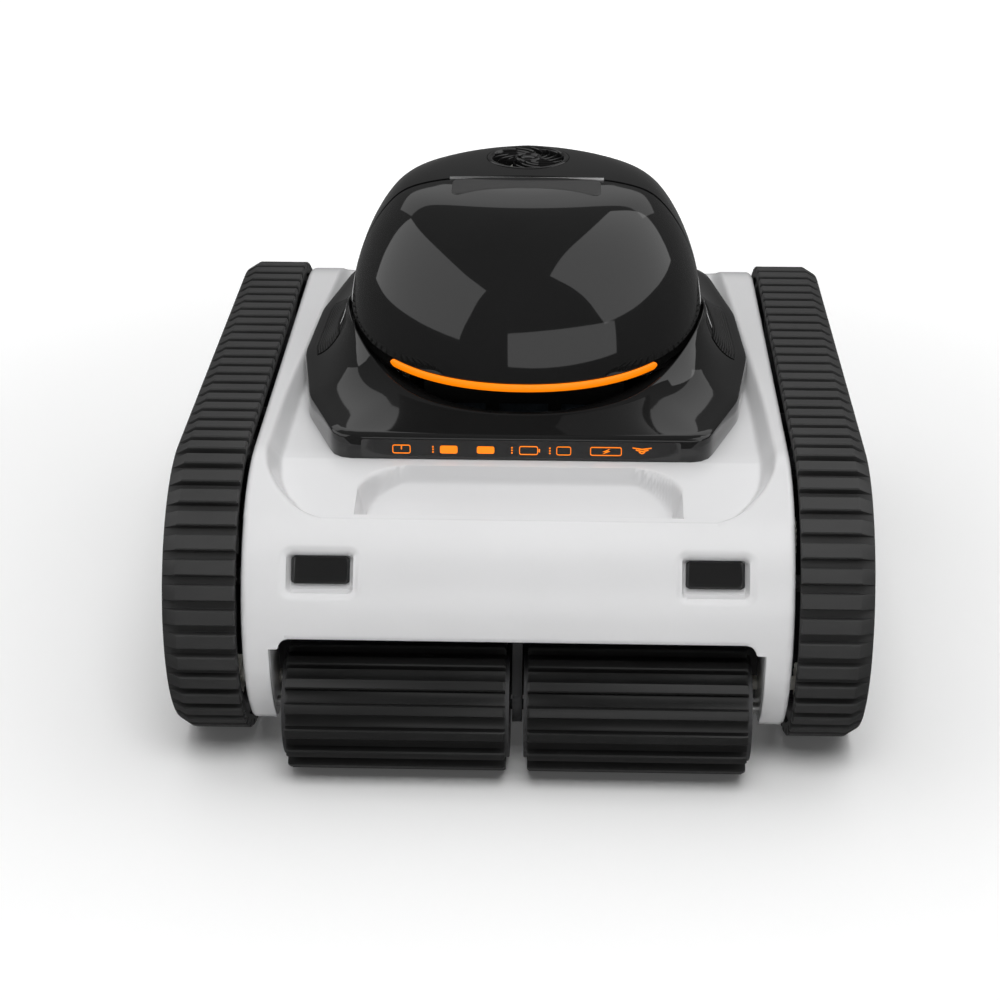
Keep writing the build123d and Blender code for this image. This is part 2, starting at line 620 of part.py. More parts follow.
def make_axles():
    """Four fixed wheel axles with flanges on the chassis walls."""
    shafts = []
    for y in (FRONT_Y, REAR_Y):
        shaft = rod(y, AXLE_Z, AXLE_RADIUS, BODY_HALF - WALL, HUB_X1 - 1)
        shaft += rod(y, AXLE_Z, 2.4 * AXLE_RADIUS, BODY_HALF, BODY_HALF + 2)
        shafts += [shaft, mirror(shaft, about=Plane.YZ)]
    return Compound(children=shafts)


def make_support_roller(y, side):
    roller = rod(y, SUPPORT_Z, SUPPORT_RADIUS, WHEEL_X0 + 1, BEAM_X0 - 1)
    groove = rod(y, SUPPORT_Z, FAR, RIB_X - RIB_WIDTH / 2 - 0.5, RIB_X + RIB_WIDTH / 2 + 0.5)
    groove -= rod(y, SUPPORT_Z, SUPPORT_RADIUS - RIB_HEIGHT, 0, FAR)
    roller -= groove
    return mirrored(roller - rod(y, SUPPORT_Z, SUPPORT_AXLE_RADIUS + RUNNING_GAP, 0, FAR), side)


def make_side_beam(side):
    """Outer frame between the wheels, with the small rollers' axles and two spacers."""
    low = AXLE_Z - BELT_INNER + 4
    high = AXLE_Z + BELT_INNER - 4
    plate = Pos(MIDDLE_Y, AXLE_Z) * Rectangle(WHEEL_BASE, high - low)
    for y in (FRONT_Y, REAR_Y):
        plate -= Pos(y, AXLE_Z) * Circle(WHEEL_RADIUS + 4)
    beam = across(plate, BEAM_X0, BEAM_X1)
    for y in (MIDDLE_Y - SUPPORT_SPREAD / 2, MIDDLE_Y + SUPPORT_SPREAD / 2):
        beam += rod(y, SUPPORT_Z, SUPPORT_AXLE_RADIUS, BODY_HALF - WALL, BEAM_X1)
    for z in (AXLE_Z, AXLE_Z + 40):
        beam += rod(MIDDLE_Y, z, 6, BODY_HALF, BEAM_X1)
    return mirrored(beam, side)


# ---- drive ----
def make_gearmotor(side):
    case = rod(DRIVE_Y, AXLE_Z, MOTOR_CASE_RADIUS, BODY_HALF - WALL - MOTOR_CASE_LENGTH, BODY_HALF - WALL)
    end = rod(DRIVE_Y, AXLE_Z, MOTOR_CASE_RADIUS - 4, BODY_HALF - WALL - MOTOR_CASE_LENGTH - 8,
              BODY_HALF - WALL - MOTOR_CASE_LENGTH)
    motor = case + end - rod(DRIVE_Y, AXLE_Z, JACK_RADIUS + RUNNING_GAP, BODY_HALF - WALL - 15, FAR)
    return mirrored(motor, side)


def make_drive_pinion(side):
    space = 360 / RING_TEETH
    offset_angle = BRUSH_ANGLE - space * round(BRUSH_ANGLE / space)
    phase = offset_angle * RING_TEETH / DRIVE_TEETH
    pinion = gear(DRIVE_TEETH, RING_MODULE, phase, DRIVE_Y, AXLE_Z, GEAR_X0, GEAR_X1)
    pinion += rod(DRIVE_Y, AXLE_Z, JACK_RADIUS, BODY_HALF - WALL - 14, GEAR_X0 + 1)
    return mirrored(pinion, side)


def make_jack_shaft(side):
    shaft = gear(JACK_TEETH, RING_MODULE, BRUSH_ANGLE, JACK_Y, JACK_Z, GEAR_X0, GEAR_X1)
    shaft += rod(JACK_Y, JACK_Z, JACK_RADIUS, BRUSH_GEAR_X0 + 1, GEAR_X0 + 1)
    phase = BRUSH_ANGLE + 180
    shaft += gear(BRUSH_PINION_TEETH, BRUSH_MODULE, phase, JACK_Y, JACK_Z,
                  BRUSH_GEAR_X0 + 1, BRUSH_OUTER_X - 1)
    return mirrored(shaft, side)


# ---- brushes ----
def make_brush_core(side):
    core = rod(BRUSH_Y, BRUSH_Z, CORE_RADIUS, BRUSH_INNER_X, BRUSH_OUTER_X)
    core -= rod(BRUSH_Y, BRUSH_Z, CORE_RADIUS - CORE_WALL, BRUSH_INNER_X + 5, BRUSH_GEAR_X0 - 5)
    core -= rod(BRUSH_Y, BRUSH_Z, BRUSH_PIN_RADIUS + RUNNING_GAP, 0, FAR)
    ring = Pos(BRUSH_Y, BRUSH_Z) * gear_outline(BRUSH_TEETH, BRUSH_MODULE, BRUSH_ANGLE + 180, inner=True)
    core -= across(ring, BRUSH_GEAR_X0, BRUSH_OUTER_X)
    return mirrored(core, side)


def make_brush_sleeve(side):
    outer = Pos(BRUSH_Y, BRUSH_Z) * Circle(BRUSH_RADIUS - FIN_HEIGHT)
    half_turn = 180 / FIN_COUNT if side > 0 else 0
    fins = []
    for number in range(FIN_COUNT):
        turn = Rot(0, 0, number * 360 / FIN_COUNT + half_turn / 2)
        place = Pos(BRUSH_Y, BRUSH_Z) * turn * Pos(BRUSH_RADIUS - FIN_HEIGHT, 0)
        fins.append(place * Rectangle(2 * FIN_HEIGHT, FIN_WIDTH))
    profile = outer + fins
    sleeve = across(profile, BRUSH_INNER_X + 1, BRUSH_OUTER_X - 2)
    envelope = rod(BRUSH_Y, BRUSH_Z, BRUSH_RADIUS, BRUSH_INNER_X + 1, BRUSH_OUTER_X - 2)
    ends = envelope.edges().filter_by(GeomType.CIRCLE)
    sleeve &= fillet(ends, FIN_HEIGHT - 1)
    sleeve -= rod(BRUSH_Y, BRUSH_Z, CORE_RADIUS, 0, FAR)
    return mirrored(sleeve, side)


def make_brush_bracket():
    """Blade between the brushes, hung from the chassis, with a pin to each side."""
    arm_points = [
        (FRONT_SPLIT_Y + PART_GAP, BRUSH_Z + 6),
        (FRONT_SPLIT_Y + PART_GAP, LIP_Z - 4),
        (BRUSH_Y + 8, LIP_Z - 4),
        (BRUSH_Y - 8, BRUSH_Z),
        (BRUSH_Y, BRUSH_Z - 8),
        (BRUSH_Y + 10, BRUSH_Z - 4),
    ]
    blade_half = BRUSH_INNER_X - 1.2
    blade = across(make_face(Polyline(*arm_points, close=True)), -blade_half, blade_half)
    blade += rod(BRUSH_Y, BRUSH_Z, 10, -blade_half, blade_half)
    return blade + rod(BRUSH_Y, BRUSH_Z, BRUSH_PIN_RADIUS, -BRUSH_INNER_X - 6, BRUSH_INNER_X + 6)


def make_brush_pins():
    """Outer pins of the brushes, set in the cheeks."""
    pin = rod(BRUSH_Y, BRUSH_Z, BRUSH_PIN_RADIUS, BRUSH_GEAR_X0 - 5, CHEEK_X + 8)
    return both(pin)


# ---- pump ----
def make_outlet_grille():
    """Round grille with swept vanes in two rows."""
    z1 = DOME_TOP_Z
    z0 = z1 - 4
    ring = post(0, PUMP_Y, OUTLET_RADIUS, z0, z1) - post(0, PUMP_Y, OUTLET_RADIUS - 3, z0, z1)
    hub = post(0, PUMP_Y, 5, z0, z1)
    grille = ring + hub
    vane = Pos(OUTLET_RADIUS / 2 + 0.5, 0, (z0 + z1) / 2) * Box(OUTLET_RADIUS - 7, 2, z1 - z0)
    for number in range(10):
        grille += Pos(0, PUMP_Y, 0) * Rot(0, 0, 36 * number) * Pos(0, 2, 0) * Rot(0, 0, 12) * vane
    return grille


def make_impeller():
    z0 = DOME_TOP_Z - 8 - IMPELLER_HEIGHT
    hub = post(0, PUMP_Y, 7, z0, z0 + IMPELLER_HEIGHT)
    shaft = post(0, PUMP_Y, PUMP_SHAFT_RADIUS, MOTOR_Z + MOTOR_LENGTH - 12, z0 + 1)
    impeller = hub + shaft
    length = IMPELLER_RADIUS - 6
    blade = Pos(6 + length / 2, 0, z0 + IMPELLER_HEIGHT / 2) * Rot(35, 0, 0) * Box(length, 2, IMPELLER_HEIGHT)
    for number in range(BLADE_COUNT):
        impeller += Pos(0, PUMP_Y, 0) * Rot(0, 0, number * 360 / BLADE_COUNT) * blade
    return impeller & post(0, PUMP_Y, IMPELLER_RADIUS, 0, FAR)


def make_pump_motor():
    motor = post(0, PUMP_Y, MOTOR_RADIUS, MOTOR_Z, MOTOR_Z + MOTOR_LENGTH - 4)
    motor += post(0, PUMP_Y, 0.6 * MOTOR_RADIUS, MOTOR_Z + MOTOR_LENGTH - 4, MOTOR_Z + MOTOR_LENGTH)
    return motor - post(0, PUMP_Y, PUMP_SHAFT_RADIUS + RUNNING_GAP, MOTOR_Z + MOTOR_LENGTH - 14, FAR)


def make_shaft_seal():
    z0 = MOTOR_Z + MOTOR_LENGTH
    ring = post(0, PUMP_Y, 8, z0, z0 + 3)
    return ring - post(0, PUMP_Y, PUMP_SHAFT_RADIUS + RUNNING_GAP, z0, z0 + 3)


def make_motor_mount():
    """Cup under the pump motor on two legs."""
    z0 = MOTOR_Z - 4
    plate = block(-56, 56, PUMP_Y - 14, PUMP_Y + 14, z0 - 4, z0)
    cup = post(0, PUMP_Y, MOTOR_RADIUS + 3, z0 - 4, z0 + 22) - post(0, PUMP_Y, MOTOR_RADIUS, MOTOR_Z, FAR)
    legs = block(-56, -50, PUMP_Y - 10, PUMP_Y + 10, BELLY_Z + WALL, z0)
    return plate + cup + legs + mirror(legs, about=Plane.YZ)


# ---- filter basket and inlet ----
def make_filter_frame():
    z0, z1 = BASKET_Z, BASKET_TOP_Z
    frame = block(-BASKET_HALF, BASKET_HALF, BASKET_FRONT_Y, BASKET_REAR_Y, z0, z1)
    frame -= block(-BASKET_HALF + BASKET_WALL, BASKET_HALF - BASKET_WALL, BASKET_FRONT_Y + BASKET_WALL,
                   BASKET_REAR_Y - BASKET_WALL, z0 + BASKET_WALL, z1)
    rib = 8.0
    width = (2 * BASKET_HALF - 4 * rib) / 3
    for column in (-1, 0, 1):
        x = column * (width + rib)
        frame -= block(x - width / 2, x + width / 2, -FAR, FAR, z0 + 14, z1 - 14)
    frame -= block(-FAR, FAR, BASKET_FRONT_Y + rib, BASKET_REAR_Y - rib, z0 + 14, z1 - 14)
    mouth_half = INLET_HALF - 2
    frame -= block(-mouth_half, mouth_half, INLET_FRONT_Y + 2, INLET_REAR_Y - 2, 0, z0 + BASKET_WALL)
    middle = (BASKET_FRONT_Y + BASKET_REAR_Y) / 2
    handle = block(-BASKET_HALF, BASKET_HALF, middle - 4, middle + 4, z1 - 4, z1)
    return frame + handle


def make_filter_mesh():
    """Fine mesh panels lining the four window walls."""
    z0, z1 = BASKET_Z + BASKET_WALL, BASKET_TOP_Z - 6
    half = BASKET_HALF - BASKET_WALL
    front, rear = BASKET_FRONT_Y + BASKET_WALL, BASKET_REAR_Y - BASKET_WALL
    mesh = block(-half, half, front, rear, z0, z1)
    return mesh - block(-half + 1, half - 1, front + 1, rear - 1, z0, z1)


def make_inlet_mouth():
    """Suction mouth through the belly, with a flare underneath."""
    gap = PART_GAP
    outer = block(-INLET_HALF + gap, INLET_HALF - gap, INLET_FRONT_Y + gap, INLET_REAR_Y - gap,
                  INLET_Z, FLAP_Z - 1)
    flare = block(-INLET_HALF - 8, INLET_HALF + 8, INLET_FRONT_Y - 8, INLET_REAR_Y + 8, INLET_Z, BELLY_Z - gap)
    mouth = outer + flare
    return mouth - block(-INLET_HALF + 3, INLET_HALF - 3, INLET_FRONT_Y + 3, INLET_REAR_Y - 3, 0, FAR)


def make_inlet_flap(front):
    """One of two check flaps that lift into the basket."""
    middle = (INLET_FRONT_Y + INLET_REAR_Y) / 2
    hinge_y = INLET_FRONT_Y + FLAP_INSET if front else INLET_REAR_Y - FLAP_INSET
    y0, y1 = sorted((hinge_y, middle - 0.5 if front else middle + 0.5))
    flap = block(-INLET_HALF + 5, INLET_HALF - 5, y0, y1, FLAP_Z, FLAP_Z + FLAP_THICK)
    return flap + rod(hinge_y, FLAP_Z + FLAP_THICK / 2, FLAP_THICK / 2 + 0.4, -INLET_HALF + 5, INLET_HALF - 5)


# ---- electrics ----
def make_battery_pack():
    z0 = BELLY_Z + WALL
    pack = block(-BATTERY_HALF, BATTERY_HALF, *BATTERY_Y, z0, z0 + BATTERY_HEIGHT)
    return fillet(pack.edges().filter_by(Axis.Z), 6)


def make_control_box():
    z0 = BELLY_Z + WALL + BATTERY_HEIGHT
    return block(-BATTERY_HALF + 4, BATTERY_HALF - 4, BATTERY_Y[0] + 4, BATTERY_Y[1] - 12, z0, z0 + CONTROL_HEIGHT)


def make_charge_port():
    """Socket that fills the hole in the tail's pad, with a floor behind."""
    y0 = BATTERY_Y[1] + 6
    length = BOSS_Y - 0.5 - y0
    body = Cylinder(PORT_RADIUS - PART_GAP, length)
    socket = Pos(0, 0, 3) * Cylinder(PORT_RADIUS - 4, length)
    return Pos(PORT_X, y0 + length / 2, PORT_Z) * Rot(-90, 0, 0) * (body - socket)


def make_charge_cover():
    """Flap over the charging port, hung on its own stub pins."""
    half = BOSS_HALF - 4
    y0 = BOSS_Y + PART_GAP
    bottom = PORT_Z - half
    plate = block(PORT_X - half, PORT_X + half, y0, y0 + COVER_THICK, bottom, COVER_HINGE_Z - 3)
    tongue = block(PORT_X - COVER_BARREL_HALF, PORT_X + COVER_BARREL_HALF, y0, y0 + COVER_THICK,
                   COVER_HINGE_Z - 4, COVER_HINGE_Z)
    reach = COVER_BARREL_HALF + LUG_LENGTH
    pin = rod(COVER_HINGE_Y, COVER_HINGE_Z, COVER_PIN_RADIUS, PORT_X - reach, PORT_X + reach)
    return plate + tongue + pin


def make_float_blocks():
    """Buoyancy foam under the tray, beside the hand hold."""
    front = block(-118, 118, FRONT_SPLIT_Y + 8, DRIVE_Y - MOTOR_CASE_RADIUS - 4, 100, 124)
    rear = block(78, 140, 60, 170, 100, 128)
    return Compound(children=[front, rear, mirror(rear, about=Plane.YZ)])


# ---- front and display details ----
def make_sensor_window():
    """Tinted lenses at the bottom of the two front recesses."""
    nose_y = FRONT_Y - BODY_RADIUS
    lens = Pos(WINDOW_X, nose_y + WINDOW_DEPTH - 2, WINDOW_Z) * Box(LENS_WIDTH + 3.4, 3, LENS_HEIGHT + 5.4)
    return both(lens)


def make_display_window():
    """Glossy front strip of the plinth, over the touch keys."""
    z0 = TRAY_Z + 1
    half = BASE_FRONT_HALF - BASE_CORNER
    return block(-half, half, TRAY_LEVEL_Y - 1.2, TRAY_LEVEL_Y - 0.02, z0, z0 + FACET_HEIGHT - 2)


def make_touch_board():
    half = BASE_FRONT_HALF - 2 * BASE_CORNER
    return block(-half, half, TRAY_LEVEL_Y + 8.2, TRAY_LEVEL_Y + 9.8, TRAY_Z + 1, TRAY_Z + FACET_HEIGHT - 1)


def make_side_grille(side):
    """Louvred panel lying on the plinth's slope beside the dome."""
    turn = degrees(atan2(BASE_WIDE_HALF - BASE_REAR_HALF, BASE_REAR_Y - BASE_WIDE_Y))
    middle_y = (BASE_WIDE_Y + BASE_REAR_Y) / 2 - 8
    share = (middle_y - BASE_WIDE_Y) / (BASE_REAR_Y - BASE_WIDE_Y)
    foot_x = BASE_WIDE_HALF + share * (BASE_REAR_HALF - BASE_WIDE_HALF)
    slope = radians(SLOPE_TAPER)
    x = foot_x - SLOPE_HEIGHT / 2 * tan(slope)
    z = TRAY_Z + FACET_HEIGHT + SLOPE_HEIGHT / 2
    lift = GRILLE_THICK / 2 + 0.05
    place = Pos(x + lift * cos(slope), middle_y, z + lift * sin(slope))
    place *= Rot(0, 0, turn) * Rot(0, 90 - SLOPE_TAPER, 0)
    panel = Box(GRILLE_WIDTH, GRILLE_LENGTH, GRILLE_THICK)
    slot = Box(GRILLE_WIDTH - 4, 2.4, 2 * GRILLE_THICK)
    for number in range(GRILLE_SLOTS):
        panel -= Pos(0, (number - (GRILLE_SLOTS - 1) / 2) * GRILLE_LENGTH / (GRILLE_SLOTS + 1), 0) * slot
    return mirrored(place * panel, side)


def make_lid_gasket():
    """Soft ring on the plinth's collar, just inside the lid."""
    half, front, rear = dome_level(BASE_TOP_Z)
    z0 = BASE_TOP_Z - GROOVE_DEPTH + WALL + 0.1
    outer = dome_section(z0, half - WALL - 0.8, front - WALL - 0.8, rear)
    inner = dome_section(z0, half - WALL - 2, front - WALL - 2, rear)
    ring = extrude(outer, amount=3) - extrude(inner, amount=3)
    return ring & block(-FAR, FAR, -FAR, SEAM_Y - 2, 0, FAR)


def make_lid_catch():
    """Snap tongue inside the nose of the lid."""
    _, front, _ = dome_level(BASE_TOP_Z + 20)
    y = DOME_Y - front
    tongue = block(-12, 12, y, y + WALL + 6, BASE_TOP_Z + 12, BASE_TOP_Z + 22)
    return tongue & dome_solid(WALL)


def make_belly_screws():
    """Pan-head screws under the chassis."""
    screws = []
    for x, y in SCREW_PLACES:
        shank = post(x, y, SCREW_RADIUS, BELLY_Z, BELLY_Z + 8)
        screws.append(shank + post(x, y, SCREW_HEAD, BELLY_Z - 2, BELLY_Z))
    return Compound(children=screws)


def make_parts():
    """Every node of the object, by name."""
    parts = {
        "lower_chassis": make_lower_chassis(),
        "upper_shell": make_upper_shell(),
        "dome_base": make_dome_base(),
        "rear_cover": make_rear_cover(),
        "lid": make_lid(),
        "light_strip": strip_solid(),
        "hinge_bar": make_hinge_bar(),
        "hinge_pin": make_hinge_pin(),
        "lid_gasket": make_lid_gasket(),
        "lid_catch": make_lid_catch(),
        "display_window": make_display_window(),
        "touch_board": make_touch_board(),
        "outlet_grille": make_outlet_grille(),
        "impeller": make_impeller(),
        "pump_motor": make_pump_motor(),
        "shaft_seal": make_shaft_seal(),
        "motor_mount": make_motor_mount(),
        "filter_frame": make_filter_frame(),
        "filter_mesh": make_filter_mesh(),
        "inlet_mouth": make_inlet_mouth(),
        "front_inlet_flap": make_inlet_flap(True),
        "rear_inlet_flap": make_inlet_flap(False),
        "battery_pack": make_battery_pack(),
        "control_box": make_control_box(),
        "charge_port": make_charge_port(),
        "charge_cover": make_charge_cover(),
        "float_blocks": make_float_blocks(),
        "sensor_windows": make_sensor_window(),
        "wheel_axles": make_axles(),
        "brush_bracket": make_brush_bracket(),
        "brush_pins": make_brush_pins(),
        "belly_screws": make_belly_screws(),
    }
    for name, side in BOTH_SIDES.items():
        parts["track_belt_" + name] = make_belt(side)
        parts["front_wheel_" + name] = make_wheel(FRONT_Y, True, side)
        parts["rear_wheel_" + name] = make_wheel(REAR_Y, False, side)
        parts["front_hub_cap_" + name] = make_hub_cap(FRONT_Y, side)
        parts["rear_hub_cap_" + name] = make_hub_cap(REAR_Y, side)
        parts["side_beam_" + name] = make_side_beam(side)
        parts["gearmotor_" + name] = make_gearmotor(side)
        parts["drive_pinion_" + name] = make_drive_pinion(side)
        parts["jack_shaft_" + name] = make_jack_shaft(side)
        parts["brush_core_" + name] = make_brush_core(side)
        parts["brush_sleeve_" + name] = make_brush_sleeve(side)
        parts["side_grille_" + name] = make_side_grille(side)
        for place, y in (("front", MIDDLE_Y - SUPPORT_SPREAD / 2), ("rear", MIDDLE_Y + SUPPORT_SPREAD / 2)):
            parts[place + "_support_roller_" + name] = make_support_roller(y, side)
    return parts


os.makedirs("parts", exist_ok=True)
for node, shape in make_parts().items():
    export_step(shape, os.path.join("parts", node + ".step"))
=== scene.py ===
"""Looks of a cordless pool cleaner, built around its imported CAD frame.

Sizes are in millimetres times MM, in the frame's own axes: X right, Y from front to back, Z up.
"""

import bmesh
import bpy
import json
import math
import numpy as np
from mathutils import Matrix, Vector


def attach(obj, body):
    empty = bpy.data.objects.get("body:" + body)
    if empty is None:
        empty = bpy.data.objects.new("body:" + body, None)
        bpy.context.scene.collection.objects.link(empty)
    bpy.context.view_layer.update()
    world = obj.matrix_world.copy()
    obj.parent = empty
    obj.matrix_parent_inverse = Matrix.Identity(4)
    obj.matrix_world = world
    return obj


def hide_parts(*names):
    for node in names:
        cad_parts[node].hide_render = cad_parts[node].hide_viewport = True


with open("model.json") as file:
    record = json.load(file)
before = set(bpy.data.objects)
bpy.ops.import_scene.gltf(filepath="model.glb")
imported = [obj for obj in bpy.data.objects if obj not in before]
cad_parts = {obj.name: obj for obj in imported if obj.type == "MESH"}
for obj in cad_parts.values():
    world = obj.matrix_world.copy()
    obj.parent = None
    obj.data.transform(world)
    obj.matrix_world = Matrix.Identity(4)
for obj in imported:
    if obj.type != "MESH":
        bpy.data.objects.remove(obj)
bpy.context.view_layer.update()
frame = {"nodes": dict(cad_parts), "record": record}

MM = 0.001
TINY = 1e-6
AXLE_Z = 88.0
FRONT_Y = -140.0  # front axle
REAR_Y = 149.0  # rear axle
BODY_RADIUS = 84.0  # of the nose and the tail, round the axles
BODY_HALF = 152.0
EDGE_RADIUS = 4.0  # where the shell's top turns into its sides
SHELL_WALL = 2.6
OPENING_HALF = 129.0  # brush opening
OPENING_TOP = 92.0
POST_TOP = 85.45
POST_X = 137.0  # inner face of the posts beside the brushes
WELL_HALF = 90.0  # opening under the plinth
WELL_FRONT, WELL_REAR = -122.0, 166.0
TRAY_Z = 162.0
TRAY_FRONT_Y = -135.0
CREASE_Y = -194.4
CREASE_Z = 151.5
SEAM_Y = 8.0  # between the lid and the rear cover
SEAM_GAP = 1.3  # each side of the seam
OUTLET_Y = 46.0


# ---- small maths ----
def smooth(low, high, value):
    """Eased ramp from 0 to 1."""
    t = np.clip((value - low) / (high - low), 0.0, 1.0)
    return t * t * (3 - 2 * t)


def soft_ramp(low, high, value, ease=0.06):
    """Straight ramp from 0 to 1 with a small rounding at both ends."""
    t = (value - low) / (high - low)
    rise = (np.sqrt(t * t + ease * ease) - np.sqrt((t - 1) ** 2 + ease * ease) + 1) / 2
    return np.clip(rise, 0.0, 1.0)


def curve(xs, ys):
    """Smooth curve through a few points, as a function (cubic Hermite)."""
    xs = np.array(xs, float)
    ys = np.array(ys, float)
    slopes = np.gradient(ys, xs)

    def value(x):
        x = np.clip(x, xs[0], xs[-1])
        i = np.clip(np.searchsorted(xs, x) - 1, 0, len(xs) - 2)
        h = xs[i + 1] - xs[i]
        t = (x - xs[i]) / h
        a = (1 + 2 * t) * (1 - t) ** 2 * ys[i] + t * (1 - t) ** 2 * h * slopes[i]
        return a + t * t * (3 - 2 * t) * ys[i + 1] + t * t * (t - 1) * h * slopes[i + 1]

    return value


def steps(*runs):
    """Positions along a line: each run is (start, end, spacing)."""
    found = []
    for start, end, spacing in runs:
        count = max(1, round(abs(end - start) / spacing))
        found += list(np.linspace(start, end, count, endpoint=False))
    return found + [runs[-1][1]]


# ---- materials ----
def node_tree(name):
    """A new material with its nodes and links."""
    material = bpy.data.materials.new(name)
    material.use_nodes = True
    return material, material.node_tree.nodes, material.node_tree.links


def finish_material(name, dark, light, rough, grain, grain_depth, mottle=9.0, metallic=0.0, coat=0.0,
                    coat_rough=0.05, stretch=(1, 1, 1), specular=0.5, wear=0.0, weave=False, glow=0.0):
    """Procedural finish: colour mottling, edge wear, varied roughness and a fine bump."""
    material, nodes, links = node_tree(name)
    shader = nodes["Principled BSDF"]
    shader.inputs["Metallic"].default_value = metallic
    shader.inputs["Specular IOR Level"].default_value = specular
    shader.inputs["Coat Weight"].default_value = coat
    shader.inputs["Coat Roughness"].default_value = coat_rough
    place = nodes.new("ShaderNodeTexCoord")
    mapping = nodes.new("ShaderNodeMapping")
    mapping.inputs["Scale"].default_value = stretch
    links.new(place.outputs["Object"], mapping.inputs["Vector"])
    cloud = nodes.new("ShaderNodeTexNoise")
    cloud.inputs["Scale"].default_value = mottle
    cloud.inputs["Detail"].default_value = 4
    links.new(mapping.outputs["Vector"], cloud.inputs["Vector"])
    ramp = nodes.new("ShaderNodeValToRGB")
    ramp.color_ramp.elements[0].position = 0.3
    ramp.color_ramp.elements[1].position = 0.7
    ramp.color_ramp.elements[0].color = (*dark, 1)
    ramp.color_ramp.elements[1].color = (*light, 1)
    links.new(cloud.outputs["Fac"], ramp.inputs["Fac"])
    colour = ramp.outputs["Color"]
    if wear:
        shape = nodes.new("ShaderNodeNewGeometry")
        edge = nodes.new("ShaderNodeMapRange")
        edge.inputs["From Min"].default_value = 0.52
        edge.inputs["From Max"].default_value = 0.62
        edge.inputs["To Max"].default_value = wear
        links.new(shape.outputs["Pointiness"], edge.inputs["Value"])
        mix = nodes.new("ShaderNodeMix")
        mix.data_type = "RGBA"
        mix.inputs["B"].default_value = (*[min(1.0, c * 2.2 + 0.02) for c in light], 1)
        links.new(edge.outputs["Result"], mix.inputs["Factor"])
        links.new(colour, mix.inputs["A"])
        colour = mix.outputs["Result"]
    links.new(colour, shader.inputs["Base Color"])
    if glow:
        links.new(colour, shader.inputs["Emission Color"])
        shader.inputs["Emission Strength"].default_value = glow
    fine = nodes.new("ShaderNodeTexVoronoi" if weave else "ShaderNodeTexNoise")
    fine.inputs["Scale"].default_value = grain
    links.new(mapping.outputs["Vector"], fine.inputs["Vector"])
    height = fine.outputs["Distance" if weave else "Fac"]
    spread = nodes.new("ShaderNodeMapRange")
    spread.inputs["To Min"].default_value = rough[0]
    spread.inputs["To Max"].default_value = rough[1]
    links.new(cloud.outputs["Fac"], spread.inputs["Value"])
    links.new(spread.outputs["Result"], shader.inputs["Roughness"])
    bump = nodes.new("ShaderNodeBump")
    bump.inputs["Strength"].default_value = grain_depth
    bump.inputs["Distance"].default_value = 0.0002
    links.new(height, bump.inputs["Height"])
    links.new(bump.outputs["Normal"], shader.inputs["Normal"])
    return material


def grey(level, tint=0.0):
    """Grey colour; tint adds blue."""
    return (level, level, level * (1 + tint))


FINISHES = {
    "white_gloss": dict(dark=grey(0.70, 0.01), light=grey(0.73, 0.01), rough=(0.2, 0.26), grain=1500,
                        grain_depth=0.04, coat=0.25, coat_rough=0.12),
    "black_gloss": dict(dark=grey(0.0075), light=grey(0.0105), rough=(0.03, 0.06), grain=900,
                        grain_depth=0.008, coat=0.2, coat_rough=0.02),
    "black_rubber": dict(dark=grey(0.017), light=grey(0.024), rough=(0.5, 0.62), grain=2600,
                         grain_depth=0.3, mottle=30, wear=0.35),
    "brush_rubber": dict(dark=grey(0.005), light=grey(0.008), rough=(0.3, 0.4), grain=2200,
                         grain_depth=0.12, mottle=30, wear=0.3),
    "dark_plastic": dict(dark=grey(0.03, 0.04), light=grey(0.042, 0.04), rough=(0.42, 0.55), grain=1800,
                         grain_depth=0.35, wear=0.2),
    "grey_plastic": dict(dark=grey(0.026), light=grey(0.034), rough=(0.42, 0.5), grain=1900,
                         grain_depth=0.3, wear=0.2),
    "soft_black": dict(dark=grey(0.014), light=grey(0.02), rough=(0.45, 0.6), grain=2400,
                       grain_depth=0.3, wear=0.2),
    "orange_light": dict(dark=(0.62, 0.135, 0.0), light=(0.66, 0.15, 0.0), rough=(0.3, 0.4), grain=1400,
                         grain_depth=0.05, glow=1.4),
    "steel": dict(dark=grey(0.5), light=grey(0.6), rough=(0.22, 0.38), grain=900,
                  grain_depth=0.25, metallic=1.0, stretch=(1, 8, 8)),
    "nylon_gear": dict(dark=(0.62, 0.61, 0.56), light=(0.68, 0.67, 0.62), rough=(0.35, 0.48), grain=1500,
                       grain_depth=0.2),
    "motor_can": dict(dark=grey(0.38), light=grey(0.46), rough=(0.3, 0.42), grain=1000,
                      grain_depth=0.25, metallic=0.85, stretch=(6, 1, 1)),
    "green_board": dict(dark=(0.012, 0.09, 0.04), light=(0.02, 0.13, 0.06), rough=(0.3, 0.45), grain=700,
                        grain_depth=0.3, weave=True),
    "white_foam": dict(dark=grey(0.68), light=grey(0.76), rough=(0.8, 0.95), grain=420,
                       grain_depth=0.9, mottle=40, weave=True),
    "blue_mesh": dict(dark=(0.07, 0.1, 0.13), light=(0.12, 0.16, 0.2), rough=(0.6, 0.75), grain=650,
                      grain_depth=0.9, mottle=60, weave=True),
    "battery_blue": dict(dark=(0.025, 0.06, 0.17), light=(0.035, 0.08, 0.22), rough=(0.3, 0.42), grain=1200,
                         grain_depth=0.15),
    "smoked_lens": dict(dark=grey(0.010), light=grey(0.013), rough=(0.08, 0.14), grain=1100,
                        grain_depth=0.01, coat=0.3),
}
MATERIALS = {name: finish_material(name, **finish) for name, finish in FINISHES.items()}


